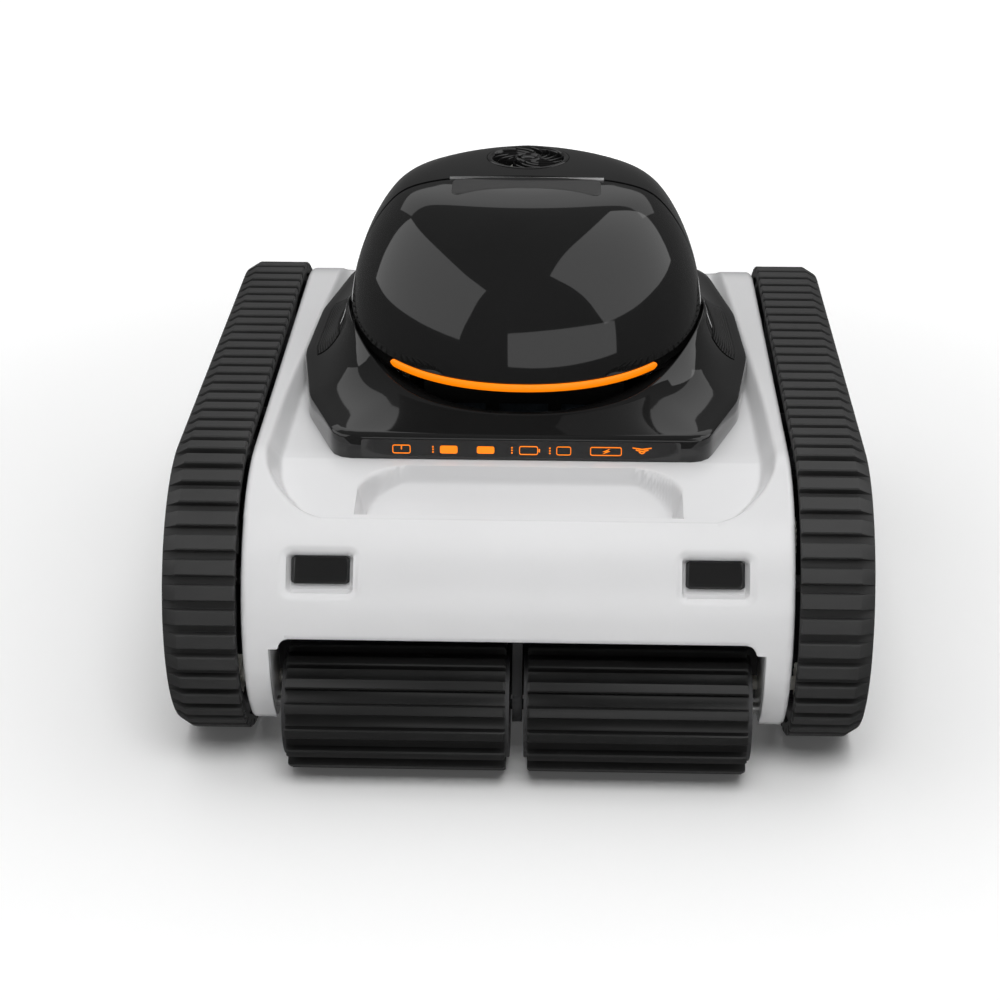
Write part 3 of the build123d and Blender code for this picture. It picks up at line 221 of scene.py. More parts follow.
# ---- meshes ----
def piece(name, points, faces, body, slot, material=None, stands_for=(), angle=35):
    """A new mesh piece that rides on a CAD body. Points are in millimetres."""
    mesh = bpy.data.meshes.new(name)
    mesh.from_pydata((np.array(points, float) * MM).tolist(), [], [list(map(int, f)) for f in faces])
    mesh.validate()
    mesh.materials.append(MATERIALS[material or slot])
    mesh.polygons.foreach_set("use_smooth", [True] * len(mesh.polygons))
    mesh.set_sharp_from_angle(angle=math.radians(angle))
    obj = bpy.data.objects.new(name, mesh)
    bpy.context.scene.collection.objects.link(obj)
    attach(obj, body)
    if stands_for:
        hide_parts(*stands_for)
    return obj


def grid_faces(rows, cols, close_rows=False, close_cols=False, keep=None):
    """Quads over a grid of points; keep(r, c) says which cells stay."""
    faces = []
    for r in range(rows if close_rows else rows - 1):
        for c in range(cols if close_cols else cols - 1):
            if keep is None or keep[r, c]:
                r1, c1 = (r + 1) % rows, (c + 1) % cols
                faces.append((r * cols + c, r * cols + c1, r1 * cols + c1, r1 * cols + c))
    return faces


def used_only(points, faces):
    """Drops the points that no face uses."""
    points = np.array(points, float)
    faces = np.array(faces, int)
    used, back = np.unique(faces, return_inverse=True)
    return points[used], back.reshape(faces.shape)


def thicken(obj, thickness):
    mod = obj.modifiers.new("Thickness", "SOLIDIFY")
    mod.thickness = thickness * MM
    mod.offset = -1.0


def soften(obj, width, angle):
    mod = obj.modifiers.new("Soft edges", "BEVEL")
    mod.width = width * MM
    mod.segments = 2
    mod.limit_method = "ANGLE"
    mod.angle_limit = math.radians(angle)
    mod.harden_normals = True


def both_sides(points, faces):
    """Side name, points and faces for the right side and its mirror image."""
    points = np.array(points, float)
    yield "right", points, faces
    yield "left", points * (-1, 1, 1), [tuple(reversed(face)) for face in faces]


# ---- white shell ----
WINDOW_X = 108.4
WINDOW_Z = 129.0
WINDOW_ANGLE = math.asin((WINDOW_Z - AXLE_Z) / BODY_RADIUS)
POCKET_DEPTH = 6.2
tray_outer = curve((-197, -190, -180, -165, -145, -120, -60, 0, 165, 236),
                   (106, 122, 132.5, 140.5, 144, 143.8, 142.4, 139.5, 130.5, 127))
tray_inner = curve((-197, -190, -180, -165, -145, -120, -60, 0, 165, 236),
                   (101, 116, 125, 132.5, 136, 136, 135.4, 133, 125, 122))
lip_half = curve((85.4, 86.0, 88.0, 90.0, 91.2, 92.0), (132.4, 131.8, 131.2, 130.0, 128.6, 126.0))


def tray_height(y):
    """Height of the tray, level under the plinth and falling towards the nose."""
    slope = (TRAY_Z - CREASE_Z) / (TRAY_FRONT_Y - CREASE_Y)
    raw = CREASE_Z + (y - CREASE_Y) * slope if y < TRAY_FRONT_Y else TRAY_Z
    return raw - 0.33 * math.exp(-((y - TRAY_FRONT_Y) / 6.0) ** 2)


def scoop_depth(x, y):
    """Hand hold: rounded at its back corners and deeper towards the nose."""
    rear, corner, front = -142.0, -166.0, -189.3
    rear_half, corner_width = 58.0, 32.0
    t = np.clip((y - corner) / (rear - corner), 0, 1)
    half = rear_half + corner_width * np.sqrt(1 - t * t)
    inside = soft_ramp(-0.4, 3.4, half - np.abs(x), 0.1) * smooth(front - 0.4, front + 0.8, y) * (y < rear)
    ramp = np.clip((rear - y) / (rear - front), 0, 1)
    return inside * (1.6 * smooth(0, 0.05, ramp) + 23.0 * ramp ** 0.4)


def rounded_box(u, v, half_u, half_v, radius):
    """Depth inside a rounded rectangle; negative outside."""
    du = np.abs(u) - (half_u - radius)
    dv = np.abs(v) - (half_v - radius)
    outside = np.hypot(np.maximum(du, 0), np.maximum(dv, 0)) + np.minimum(np.maximum(du, dv), 0)
    return radius - outside


def window_depth(x, arc):
    """Depth of the two window pockets, each a shallow rim round a deeper box."""
    u = np.abs(x) - WINDOW_X
    rim = rounded_box(u, arc + 1.2, 21.8, 14.8, 6.0)
    pocket = rounded_box(u, arc + 1.0, 18.4, 11.6, 3.4)
    return 1.9 * soft_ramp(0, 2.6, rim) + POCKET_DEPTH * soft_ramp(0, 1.1, pocket)


def edge_drop(x):
    """How far the shell's long edges are rounded off."""
    past = np.clip(np.abs(x) - (BODY_HALF - EDGE_RADIUS), 0, EDGE_RADIUS)
    return EDGE_RADIUS - np.sqrt(np.clip(EDGE_RADIUS ** 2 - past ** 2, 0, EDGE_RADIUS ** 2))


def arc_height(y):
    """Height of the body's outline at y: level between the axles, round past them."""
    over = max(0.0, FRONT_Y - y, y - REAR_Y)
    return AXLE_Z + math.sqrt(max(0.0, BODY_RADIUS ** 2 - over ** 2))


def opening_columns(x, inner_x):
    """Moves the columns beside the brush opening so that its edge lies at inner_x."""
    reach = np.abs(x)
    share = (reach - OPENING_HALF) / (BODY_HALF - OPENING_HALF)
    outside = np.sign(x) * (inner_x + share * (BODY_HALF - inner_x))
    return np.where(reach >= OPENING_HALF - TINY, outside, x / OPENING_HALF * inner_x)


def nose_row(xs, angle):
    """Row of the shell on the round nose, at an angle above the front axle."""
    z = AXLE_Z + BODY_RADIUS * math.sin(angle)
    x = xs
    if z < POST_TOP:
        x = opening_columns(xs, POST_X)
    elif z <= OPENING_TOP:
        x = opening_columns(xs, float(lip_half(z)))
    depth = window_depth(xs, (angle - WINDOW_ANGLE) * BODY_RADIUS)
    radius = BODY_RADIUS - depth - edge_drop(x)
    return np.stack([x, FRONT_Y - radius * math.cos(angle), AXLE_Z + radius * math.sin(angle)], 1)


def top_row(xs, y):
    """Row of the shell from the nose's crease to the tail, with the tray and the hand hold."""
    arc = arc_height(y)
    tray = tray_height(y) - scoop_depth(xs, y)
    rise = soft_ramp(float(tray_inner(y)), float(tray_outer(y)), np.abs(xs))
    z = np.minimum(tray + (arc - tray) * rise, arc) - edge_drop(xs)
    return np.stack([xs, np.full_like(xs, y), z], 1)


def tail_row(xs, angle):
    radius = BODY_RADIUS - edge_drop(xs)
    return np.stack([xs, REAR_Y + radius * math.cos(angle), AXLE_Z + radius * math.sin(angle)], 1)


def with_sides(row, y, z):
    """Adds the side walls to a row: each end steps inwards, towards the axles."""
    centre_y = min(max(y, FRONT_Y), REAR_Y)
    outward = np.array([0.0, y - centre_y, z - AXLE_Z])
    outward /= np.linalg.norm(outward)
    centre = np.array([0.0, centre_y, AXLE_Z])
    inwards = [centre + outward * (BODY_RADIUS - EDGE_RADIUS - depth) for depth in SIDE_DEPTHS]
    left = [spot + [row[0, 0], 0.0, 0.0] for spot in inwards[::-1]]
    right = [spot + [row[-1, 0], 0.0, 0.0] for spot in inwards]
    return np.vstack([left, row, right])


SIDE_DEPTHS = (2.0, 12.0, 40.0)


def make_shell():
    lip_levels = (85.4, 85.5, 86.2, 88, 90, 91.2, 92)
    low, *lip = [math.asin((z - AXLE_Z) / BODY_RADIUS) for z in (28.0, *lip_levels)]
    high = math.acos((FRONT_Y - CREASE_Y) / BODY_RADIUS)
    window_low, window_high = (WINDOW_ANGLE + arc / BODY_RADIUS for arc in (-17.5, 15.0))
    nose = steps((low, lip[0] - 0.02, 0.05))[:-1] + lip[:-1]
    nose += steps((lip[-1], window_low, 0.03), (window_low, window_high, 0.0115), (window_high, high, 0.03))
    top = steps((CREASE_Y, -186, 0.8), (-186, -130, 1.3), (-130, 188, 4.0))[1:]
    tail = [math.radians(angle) for angle in steps((61.9, 2.7, 2.5))[1:]]
    half = steps((0, 50, 5), (50, 86, 1.6), (86, OPENING_HALF, 1.0), (OPENING_HALF, 148, 1.3),
                 (148, BODY_HALF, 0.6))
    xs = np.array([-x for x in reversed(half[1:])] + half)
    rows = [nose_row(xs, angle) for angle in nose]
    ys = [FRONT_Y - BODY_RADIUS * math.cos(angle) for angle in nose]
    zs = [AXLE_Z + BODY_RADIUS * math.sin(angle) for angle in nose]
    rows += [top_row(xs, y) for y in top] + [tail_row(xs, angle) for angle in tail]
    behind = top + [REAR_Y + BODY_RADIUS * math.cos(angle) for angle in tail]
    ys += behind
    zs += [arc_height(y) for y in behind]
    points = np.array([with_sides(*station) for station in zip(rows, ys, zs)])

    count_rows, count_cols = points.shape[:2]
    middle = len(half) - 1 + len(SIDE_DEPTHS)
    opening, well = (int(np.argmin(np.abs(np.array(half) - x))) for x in (OPENING_HALF, WELL_HALF))
    keep = np.ones((count_rows - 1, count_cols - 1), bool)
    for r in range(count_rows - 1):
        if zs[r + 1] <= OPENING_TOP + TINY and ys[r] < FRONT_Y:
            keep[r, middle - opening:middle + opening] = False
        if ys[r] > WELL_FRONT and ys[r + 1] < WELL_REAR:
            keep[r, middle - well:middle + well] = False
    points, faces = used_only(points.reshape(-1, 3), grid_faces(count_rows, count_cols, keep=keep))
    shell = piece("white_shell", points, faces, "body", "white_gloss", stands_for=("upper_shell",), angle=50)
    thicken(shell, SHELL_WALL)


def make_cheek_posts():
    """Inner faces of the two posts beside the brushes, and their undersides."""
    section = ((151.0, 3.0), (137.6, 3.0), (POST_X, 3.6), (136.6, 6), (136.2, 20), (136.0, 34), (POST_X, 36),
               (151.0, 36))
    points = []
    levels = steps((28.4, 84.6, 6))
    for z in levels:
        angle = math.asin((z - AXLE_Z) / BODY_RADIUS)
        points += [(x, FRONT_Y - (BODY_RADIUS - depth) * math.cos(angle), z) for x, depth in section]
    count = len(section)
    faces = grid_faces(len(levels), count, close_cols=True)
    faces.append(tuple(range(count))[::-1])
    faces.append(tuple(range((len(levels) - 1) * count, len(levels) * count)))
    for name, spots, sides in both_sides(points, faces):
        piece("cheek_post_" + name, spots, sides, "body", "white_gloss", angle=40)


def make_lenses():
    """Dark sensor windows at the back of the two pockets."""
    middle, half_height, half_width, corner = 0.9, 8.4, 16.2, 2.2
    across, up = 13, 15
    radius = BODY_RADIUS - POCKET_DEPTH
    points, faces = [], []
    for side in (1, -1):
        base = len(points)
        for v in np.linspace(-1, 1, up):
            over = max(0.0, abs(v) * half_height - (half_height - corner))
            half = half_width - (corner - math.sqrt(max(0.0, corner ** 2 - over ** 2)))
            angle = WINDOW_ANGLE + (middle + v * half_height) / BODY_RADIUS
            for u in np.linspace(-1, 1, across):
                points.append((side * WINDOW_X + u * half, FRONT_Y - radius * math.cos(angle),
                               AXLE_Z + radius * math.sin(angle)))
        faces += [tuple(i + base for i in face) for face in grid_faces(up, across)]
    lens = piece("front_sensor_windows", points, faces, "body", "smoked_lens", stands_for=("sensor_windows",))
    thicken(lens, 2.0)


# ---- dome ----
# z, half width, front y, rear y, y of the widest point
DOME_LEVELS = (
    (176.0, 109.3, -97.5, 176.0, 6.0),
    (184.0, 109.2, -97.0, 174.0, 6.0),
    (208.0, 108.0, -94.0, 166.0, 6.0),
    (230.0, 104.0, -88.0, 154.0, 9.0),
    (250.0, 96.5, -78.0, 138.0, 14.0),
    (266.0, 87.0, -63.5, 118.0, 20.0),
    (276.5, 77.0, -45.0, 94.0, 25.0),
    (282.6, 62.0, -22.0, 80.0, 32.0),
    (285.6, 42.0, 4.0, 74.5, 41.0),
    (286.6, 25.6, 20.4, 71.6, 46.0),
)
AROUND = 160
ROWS_PER_LEVEL = 9
LIP_ROW = 8  # row of the dome just under the lid's lip
LIP_FRONT_Y, LIP_FRONT_Z, LIP_RISE = -97.0, 187.0, 20.0
# height above the lip and inset of the lid's lowest rows: a band, then a crease
LIP_BAND = ((0.0, 1.6), (0.5, 1.0), (1.2, 0.9), (5.6, 0.9), (6.0, 0.75), (6.25, 0.0), (7.5, 0.0), (10.0, 0.0))


def dome_grid():
    """Closed rings of points from the dome's foot to its crown."""
    levels = np.array(DOME_LEVELS)
    steps_along = np.hypot(np.diff(levels[:, 0]), np.diff(levels[:, 2]))
    along = np.concatenate([[0], np.cumsum(steps_along)])
    sizes = [curve(along, levels[:, k]) for k in range(5)]
    rows = []
    for s in np.linspace(0, along[-1], ROWS_PER_LEVEL * (len(levels) - 1) + 1):
        z, half, front, rear, middle = (float(f(s)) for f in sizes)
        rows.append(dome_ring(z, half, front, rear, middle, s / along[-1]))
    return np.array(rows)


def dome_ring(z, half, front, rear, middle, up):
    """One ring: an ellipse in front, a little squarer behind; up goes from 0 to 1."""
    ring = []
    for k in range(AROUND):
        angle = 2 * math.pi * k / AROUND
        c, s = math.cos(angle), math.sin(angle)
        power = 1.0 if s < 0 else 1.0 - 0.18 * (1 - up)
        reach = (middle - front) if s < 0 else (rear - middle)
        x = half * math.copysign(abs(c) ** power, c)
        y = middle + reach * math.copysign(abs(s) ** power, s)
        ring.append((x, y, z))
    return ring


def lip_height(y):
    """Height of the lid's lower edge, rising from the front to the seam."""
    t = float(np.clip((y - LIP_FRONT_Y) / (SEAM_Y - LIP_FRONT_Y), 0, 1.2))
    return LIP_FRONT_Z + LIP_RISE * t ** 1.5


def cut(obj, y, side):
    """Cuts obj's mesh with an upright plane at y and drops what lies past it on that side."""
    mesh = bmesh.new()
    mesh.from_mesh(obj.data)
    everything = mesh.verts[:] + mesh.edges[:] + mesh.faces[:]
    bmesh.ops.bisect_plane(mesh, geom=everything, plane_co=(0, y * MM, 0), plane_no=(0, side, 0),
                           clear_outer=True)
    mesh.to_mesh(obj.data)
    mesh.free()


def lid_grid(rows):
    """The dome's rings again, with the lowest ones along the lid's curved lip."""
    count = len(rows)
    upper = np.linspace(0, 1, count - 4)[1:]
    grid = np.zeros((len(LIP_BAND) + len(upper), AROUND, 3))
    for k in range(AROUND):
        column = rows[:, k]
        lip = lip_height(column[LIP_ROW, 1])
        for r, (lift, inset) in enumerate(LIP_BAND):
            grid[r, k] = dome_point(rows, k, lip + lift, -inset)[0]
        start = float(np.interp(lip + LIP_BAND[-1][0], column[:, 2], np.arange(count)))
        index = start + upper * (count - 1 - start)
        for axis in range(3):
            grid[len(LIP_BAND):, k, axis] = np.interp(index, np.arange(count), column[:, axis])
    return grid


def make_dome(rows):
    """Lid and rear cover, cut apart at the seam."""
    for name, grid, body, node, side, angle in (
            ("lid_shell", lid_grid(rows), "lid", "lid", 1, 30),
            ("rear_cover_shell", rows, "body", "rear_cover", -1, 60)):
        faces = grid_faces(len(grid), AROUND, close_cols=True)
        shell = piece(name, grid.reshape(-1, 3), faces, body, "black_gloss", stands_for=(node,), angle=angle)
        cut(shell, SEAM_Y - side * SEAM_GAP, side)
        thicken(shell, SHELL_WALL)
        soften(shell, 0.5, 50)


def dome_point(rows, angle_index, z, out=0.0):
    """Point on the dome at a height, moved outwards level by out."""
    column = rows[:, angle_index % AROUND]
    spot = np.array([np.interp(z, column[:, 2], column[:, axis]) for axis in range(3)])
    ahead = rows[:, (angle_index + 1) % AROUND]
    behind = rows[:, (angle_index - 1) % AROUND]
    side = np.array([np.interp(z, ahead[:, 2], ahead[:, a]) - np.interp(z, behind[:, 2], behind[:, a])
                     for a in (0, 1)])
    normal = np.array([side[1], -side[0], 0.0])
    normal /= np.linalg.norm(normal)
    return spot + out * normal, normal


def make_light_strip(rows):
    """Orange band that runs round the lid just above its lip, with rounded ends."""
    half_length, half_height, depth, around = 79.0, 2.3, 1.2, 12
    lift, sunk, square = 3.0, 0.9, 0.6
    path = [dome_point(rows, k, lip_height(rows[LIP_ROW, k, 1]) + lift) for k in range(AROUND // 2, AROUND)]
    path = [(spot, normal) for spot, normal in path if abs(spot[0]) < 90]
    path.sort(key=lambda pair: pair[0][0])
    spots = np.array([spot for spot, _ in path])
    normals = np.array([normal for _, normal in path])
    samples = np.concatenate([np.linspace(-half_length, -76.6, 7), np.linspace(-75, 75, 61),
                              np.linspace(76.6, half_length, 7)])
    points = []
    for x in samples:
        centre = np.array([x, np.interp(x, spots[:, 0], spots[:, 1]), np.interp(x, spots[:, 0], spots[:, 2])])
        normal = np.array([np.interp(x, spots[:, 0], normals[:, axis]) for axis in range(3)])
        over = max(0.0, abs(x) - (half_length - half_height))
        height = max(0.15, math.sqrt(max(0.0, half_height ** 2 - over ** 2)))
        for k in range(around):
            turn = 2 * math.pi * k / around
            out = math.copysign(abs(math.cos(turn)) ** square, math.cos(turn))
            up = math.copysign(abs(math.sin(turn)) ** square, math.sin(turn))
            points.append(centre + normal * (out * depth - sunk) + np.array([0, 0, height * up]))
    count = len(samples)
    faces = grid_faces(count, around, close_cols=True)
    faces += [tuple(range(around)), tuple(range((count - 1) * around, count * around))[::-1]]
    piece("front_light", points, faces, "lid", "orange_light", stands_for=("light_strip",), angle=70)


def rounded_outline(corners, radii, per_corner=8):
    """Closed polygon with rounded corners, evenly sampled by corner."""
    found = []
    count = len(corners)
    for i in range(count):
        radius = radii[i] if isinstance(radii, (list, tuple)) else radii
        before, here, after = (np.array(corners[j % count], float) for j in (i - 1, i, i + 1))
        a = (before - here) / np.linalg.norm(before - here)
        b = (after - here) / np.linalg.norm(after - here)
        half_turn = math.acos(np.clip(-a @ b, -1, 1)) / 2
        reach = radius * math.tan(half_turn)
        centre = here + (a + b) / np.linalg.norm(a + b) * radius / math.cos(half_turn)
        start, end = here + a * reach - centre, here + b * reach - centre
        for t in np.linspace(0, 1, per_corner):
            spot = start * (1 - t) + end * t
            found.append(centre + spot / np.linalg.norm(spot) * radius)
    return np.array(found)


def ray_out(outline, origin, direction):
    """Distance from origin to a closed outline along a direction."""
    best = None
    for p, q in zip(outline, np.roll(outline, -1, axis=0)):
        edge = q - p
        cross = direction[0] * edge[1] - direction[1] * edge[0]
        if abs(cross) < 1e-9:
            continue
        gap = p - origin
        t = (gap[0] * edge[1] - gap[1] * edge[0]) / cross
        u = (gap[0] * direction[1] - gap[1] * direction[0]) / cross
        if t > 0 and -1e-6 <= u <= 1 + 1e-6:
            best = t if best is None else min(best, t)
    return best


# ---- plinth ----
def plinth_outline():
    corners = [(106, -135), (127.5, -74), (137.3, -4), (134, 72), (120, 150), (96, 180)]
    corners += [(-x, y) for x, y in reversed(corners)]
    radii = [13, 60, 90, 90, 40, 14]
    return rounded_outline(corners, radii + radii[::-1], 12)


PLINTH_AROUND = 192
PLINTH_CENTRE = np.array([0.0, 10.0])
PLINTH_WALL = 1.6
# inset from the outline and height: the upright band at the plinth's foot
PLINTH_BAND = ((0.6, 161.0), (0.0, 162.3), (0.1, 168.0), (0.3, 174.2), (0.7, 175.6), (1.6, 176.3))
# the rolled rim beside the lid: inwards from the end of the slope, and up
PLINTH_RIM = ((0.45, 0.35), (0.95, 0.2), (1.2, -0.4), (1.2, -6.0), (1.6, -7.0))
# and on under the dome: inwards from the dome's foot, and up
PLINTH_SEAT = ((6.0, -7.5), (8.0, -7.5), (8.0, -14.0))


def plinth_profile(foot, dome, direction):
    """(distance, height) pairs from the plinth's foot up its slope to the rim beside the lid."""
    flank = abs(direction[0]) ** 3
    rear = smooth(-0.15, 0.5, direction[1])
    rim_z = 179.5 + 28.5 * flank * (1 - 0.35 * rear) + 10.0 * rear * (1 - flank)
    rim = dome + 1.4 + 13.0 * (1 - smooth(0.45, 1.0, abs(direction[0]))) * (1 - rear)
    profile = [(foot - inset, z) for inset, z in PLINTH_BAND]
    start, start_z = profile[-1]
    for t in np.linspace(0.1, 1.0, 12):
        bow = 4 * t * (1 - t)
        z = start_z + (rim_z - start_z) * t ** (1.0 + 0.9 * flank) - 0.5 * bow
        profile.append((start + (rim - start) * t - 2.2 * bow * flank, z))
    last, last_z = profile[-1]
    profile += [(last - inwards, last_z + up) for inwards, up in PLINTH_RIM]
    return profile + [(dome - inwards, last_z + up) for inwards, up in PLINTH_SEAT]


def plinth_grid(rows):
    """One profile for each direction round the plinth."""
    outline = plinth_outline()
    grid = []
    for k in range(PLINTH_AROUND):
        angle = 2 * math.pi * k / PLINTH_AROUND
        direction = np.array([math.cos(angle), math.sin(angle)])
        foot = ray_out(outline, PLINTH_CENTRE, direction)
        dome = ray_out(rows[ROWS_PER_LEVEL, :, :2], PLINTH_CENTRE, direction)
        grid.append([(*(PLINTH_CENTRE + direction * reach), z)
                     for reach, z in plinth_profile(foot, dome, direction)])
    return np.array(grid)


def make_plinth(grid):
    faces = [face[::-1] for face in grid_faces(*grid.shape[:2], close_rows=True)]
    plinth = piece("dome_plinth", grid.reshape(-1, 3), faces, "body", "black_gloss",
                   stands_for=("dome_base",), angle=60)
    thicken(plinth, PLINTH_WALL)


# ---- display ----
def slab(points, faces, corners, y0, y1):
    """Adds an upright plate whose outline is in (x, z)."""
    base = len(points)
    count = len(corners)
    points += [(x, y0, z) for x, z in corners] + [(x, y1, z) for x, z in corners]
    faces.append(tuple(base + i for i in range(count)))
    faces.append(tuple(base + count + i for i in reversed(range(count))))
    for i in range(count):
        j = (i + 1) % count
        faces.append((base + j, base + i, base + count + i, base + count + j))


def pill(x, z, half_x, half_z, radius, turns=4):
    """Rounded rectangle round (x, z)."""
    corners = [(x + right * half_x, z + up * half_z) for right, up in ((-1, -1), (1, -1), (1, 1), (-1, 1))]
    return [tuple(p) for p in rounded_outline(corners, radius, turns)]


def ring_bar(points, faces, x, z, half_x, half_z, line, y0, y1):
    """Adds a hollow rounded rectangle, one quad a side step."""
    outer = pill(x, z, half_x, half_z, 1.2)
    inner = pill(x, z, half_x - line, half_z - line, 1.2 - line)
    base = len(points)
    count = len(outer)
    for outline, y in ((outer, y0), (inner, y0), (inner, y1), (outer, y1)):
        points += [(px, y, pz) for px, pz in outline]
    for i in range(count):
        j = (i + 1) % count
        for ring in range(4):
            a, b = base + ring * count, base + (ring + 1) % 4 * count
            faces.append((a + i, a + j, b + j, b + i))


def make_display():
    """Smoked panel set in the upright band; the marks on it are made by make_icons."""
    points, faces = [], []
    slab(points, faces, pill(0, 168.4, 91.0, 5.6, 1.6, 6), -135.45, -134.6)
    piece("display_panel", points, faces, "body", "smoked_lens", stands_for=("display_window",), angle=30)


def make_icons():
    """Generic status marks on the upright band of the plinth."""
    points, faces = [], []
    y0, y1, z = -135.75, -135.3, 168.2
    ring_bar(points, faces, -68, z, 5.2, 2.7, 0.5, y0, y1)
    slab(points, faces, pill(-68, z + 0.9, 0.35, 1.1, 0.3), y0, y1)
    slab(points, faces, pill(-41, z, 5.0, 2.4, 1.1), y0, y1)
    slab(points, faces, pill(-20, z, 5.0, 2.2, 1.1), y0, y1)
    ring_bar(points, faces, 4.5, z, 5.4, 2.7, 0.5, y0, y1)
    slab(points, faces, pill(10.6, z, 0.4, 1.0, 0.3), y0, y1)
    ring_bar(points, faces, 24.5, z, 4.2, 2.7, 0.45, y0, y1)
    ring_bar(points, faces, 48.5, z, 9.0, 2.7, 0.5, y0, y1)
    bolt = ((48.2, -0.3), (46.8, -1.6), (51.0, 0.1), (49.4, 0.3), (50.8, 1.6), (46.6, -0.2))
    slab(points, faces, [(x, z + up) for x, up in bolt], y0, y1)
    for x in (-50.0, -5.0, 16.6):
        for up in (-1.6, 0, 1.6):
            slab(points, faces, pill(x, z + up, 0.5, 0.42, 0.35), y0, y1)
    signal_x = 69
    for width, up in ((5.4, 1.9), (3.6, 0.6), (1.8, -0.7)):
        for side in (1, -1):
            wing = [(signal_x, -0.7), (signal_x + side * width, 0.2), (signal_x + side * width, 0.8),
                    (signal_x, 0)]
            slab(points, faces, [(x, z + up + dz) for x, dz in wing[::side]], y0, y1)
    piece("status_marks", points, faces, "body", "orange_light", angle=30)


# ---- grip plate and outlet ----
def make_grip_plate(rows):
    """Matt plate on the lid's crown, following its curve."""
    outline = rounded_outline([(-44.6, -15.0), (44.6, -15.0), (44.6, 5.6), (-44.6, 5.6)], 4.0, 6)
    centre = np.array([0.0, -4.7])
    rings = []
    for scale, lift in ((1.0, -0.6), (1.0, 0.15), (0.985, 0.42), (0.95, 0.5), (0.6, 0.5), (0.25, 0.5)):
        ring = []
        for p in outline:
            spot = centre + (p - centre) * np.array([1 - (1 - scale) * 0.35 if scale > 0.9 else scale, scale])
            ring.append((*spot, dome_height(rows, abs(spot[0]), spot[1]) + lift))
        rings.append(ring)
    points = np.array(rings)
    count = points.shape[1]
    faces = grid_faces(len(rings), count, close_cols=True)
    faces.append(tuple(range((len(rings) - 1) * count, len(rings) * count)))
    faces.append(tuple(range(count))[::-1])
    piece("grip_plate", points.reshape(-1, 3), faces, "lid", "grey_plastic", stands_for=("hinge_bar",),
          angle=40)


def dome_height(rows, x, y):
    """Height of the dome's upper surface over a point."""
    origin = np.array([0.0, OUTLET_Y])
    away = np.array([x, y]) - origin
    distance = np.linalg.norm(away)
    direction = away / distance
    top = len(rows) - 1
    for r in range(top, 0, -1):
        reach = ray_out(rows[r, :, :2], origin, direction)
        if reach >= distance:
            upper = rows[min(r + 1, top)]
            inner = ray_out(upper[:, :2], origin, direction)
            if reach - inner < TINY:
                return float(rows[r, 0, 2])
            t = (reach - distance) / (reach - inner)
            return float(rows[r, 0, 2] + t * (upper[0, 2] - rows[r, 0, 2]))
    return float(rows[0, 0, 2])


def make_outlet():
    """Swirl grille over the pump's outlet: rings, hub and curved vanes."""
    points, faces = [], []

    def ring_profile(radii, turns=72):
        base = len(points)
        for k in range(turns):
            a = 2 * math.pi * k / turns
            points.extend((r * math.cos(a), OUTLET_Y + r * math.sin(a), z) for r, z in radii)
        faces.extend(tuple(i + base for i in f)
                     for f in grid_faces(turns, len(radii), close_rows=True, close_cols=True))

    ring_profile([(21.6, 285.6), (22.2, 286.5), (23.0, 287.0), (24.6, 287.0), (25.2, 286.6), (25.3, 281.0),
                  (21.6, 281.0)])
    ring_profile([(6.0, 282.0), (6.4, 286.6), (7.0, 287.4), (7.8, 287.4), (8.4, 286.6), (8.4, 282.0)])
    ring_profile([(0.3, 284.0), (0.3, 287.6), (3.4, 287.4), (4.4, 286.8), (4.6, 284.0)], 48)
    for vane in range(14):
        base = len(points)
        for t in np.linspace(0, 1, 9):
            r = 8.0 + 14.2 * t
            a = 2 * math.pi * vane / 14 + 1.05 * t
            for da, z in ((-0.7, 282.4), (-0.5, 286.2), (0.0, 286.9), (0.5, 286.2), (0.7, 282.4)):
                shift = da / r
                points.append((r * math.cos(a + shift), OUTLET_Y + r * math.sin(a + shift), z))
        faces.extend(tuple(i + base for i in f) for f in grid_faces(9, 5, close_cols=True))
    for arm in range(3):
        base = len(points)
        for t in np.linspace(0, 1, 5):
            r = 3.6 + 3.4 * t
            a = 2 * math.pi * arm / 3
            for da, z in ((-0.6, 283.0), (-0.6, 286.8), (0.6, 286.8), (0.6, 283.0)):
                points.append((r * math.cos(a) - da * math.sin(a),
                               OUTLET_Y + r * math.sin(a) + da * math.cos(a), z))
        faces.extend(tuple(i + base for i in f) for f in grid_faces(5, 4, close_cols=True))
    piece("outlet_swirl", points, faces, "body", "black_gloss", stands_for=("outlet_grille",), angle=40)


def make_side_meshes(plinth):
    """Fine perforated panels on the plinth's flanks."""
    first_y, length, low_level, levels = -14.0, 92.0, 7.0, 6.5
    along, across = 46, 11
    points = []
    for s in np.linspace(0, 1, along):
        ends = smooth(0, 0.12, s) * smooth(0, 0.12, 1 - s)
        for t in np.linspace(0, 1, across):
            spot = flank_point(plinth, first_y + length * s, low_level + levels * t)
            points.append((spot[0] + 0.35 * ends, spot[1], spot[2] + 0.25 * ends))
    for name, spots, faces in both_sides(points, grid_faces(along, across)):
        panel = piece("flank_mesh_" + name, spots, faces, "body", "soft_black",
                      stands_for=("side_grille_" + name,), angle=80)
        wire = panel.modifiers.new("Holes", "WIREFRAME")
        wire.thickness = 0.75 * MM
        wire.use_boundary = False


def flank_point(plinth, y, level):
    """Point on the right flank at a given y, level rows above the foot."""
    low = int(level)
    share = level - low
    found = []
    for r in (low, low + 1):
        ring = plinth[:, r]
        right = ring[ring[:, 0] > 0]
        order = np.argsort(right[:, 1])
        found.append(np.array([np.interp(y, right[order, 1], right[order, axis]) for axis in range(3)]))
    return found[0] * (1 - share) + found[1] * share


# ---- belts and brushes ----
BELT_CENTRE_RADIUS = 88.0  # where the belt's length is measured


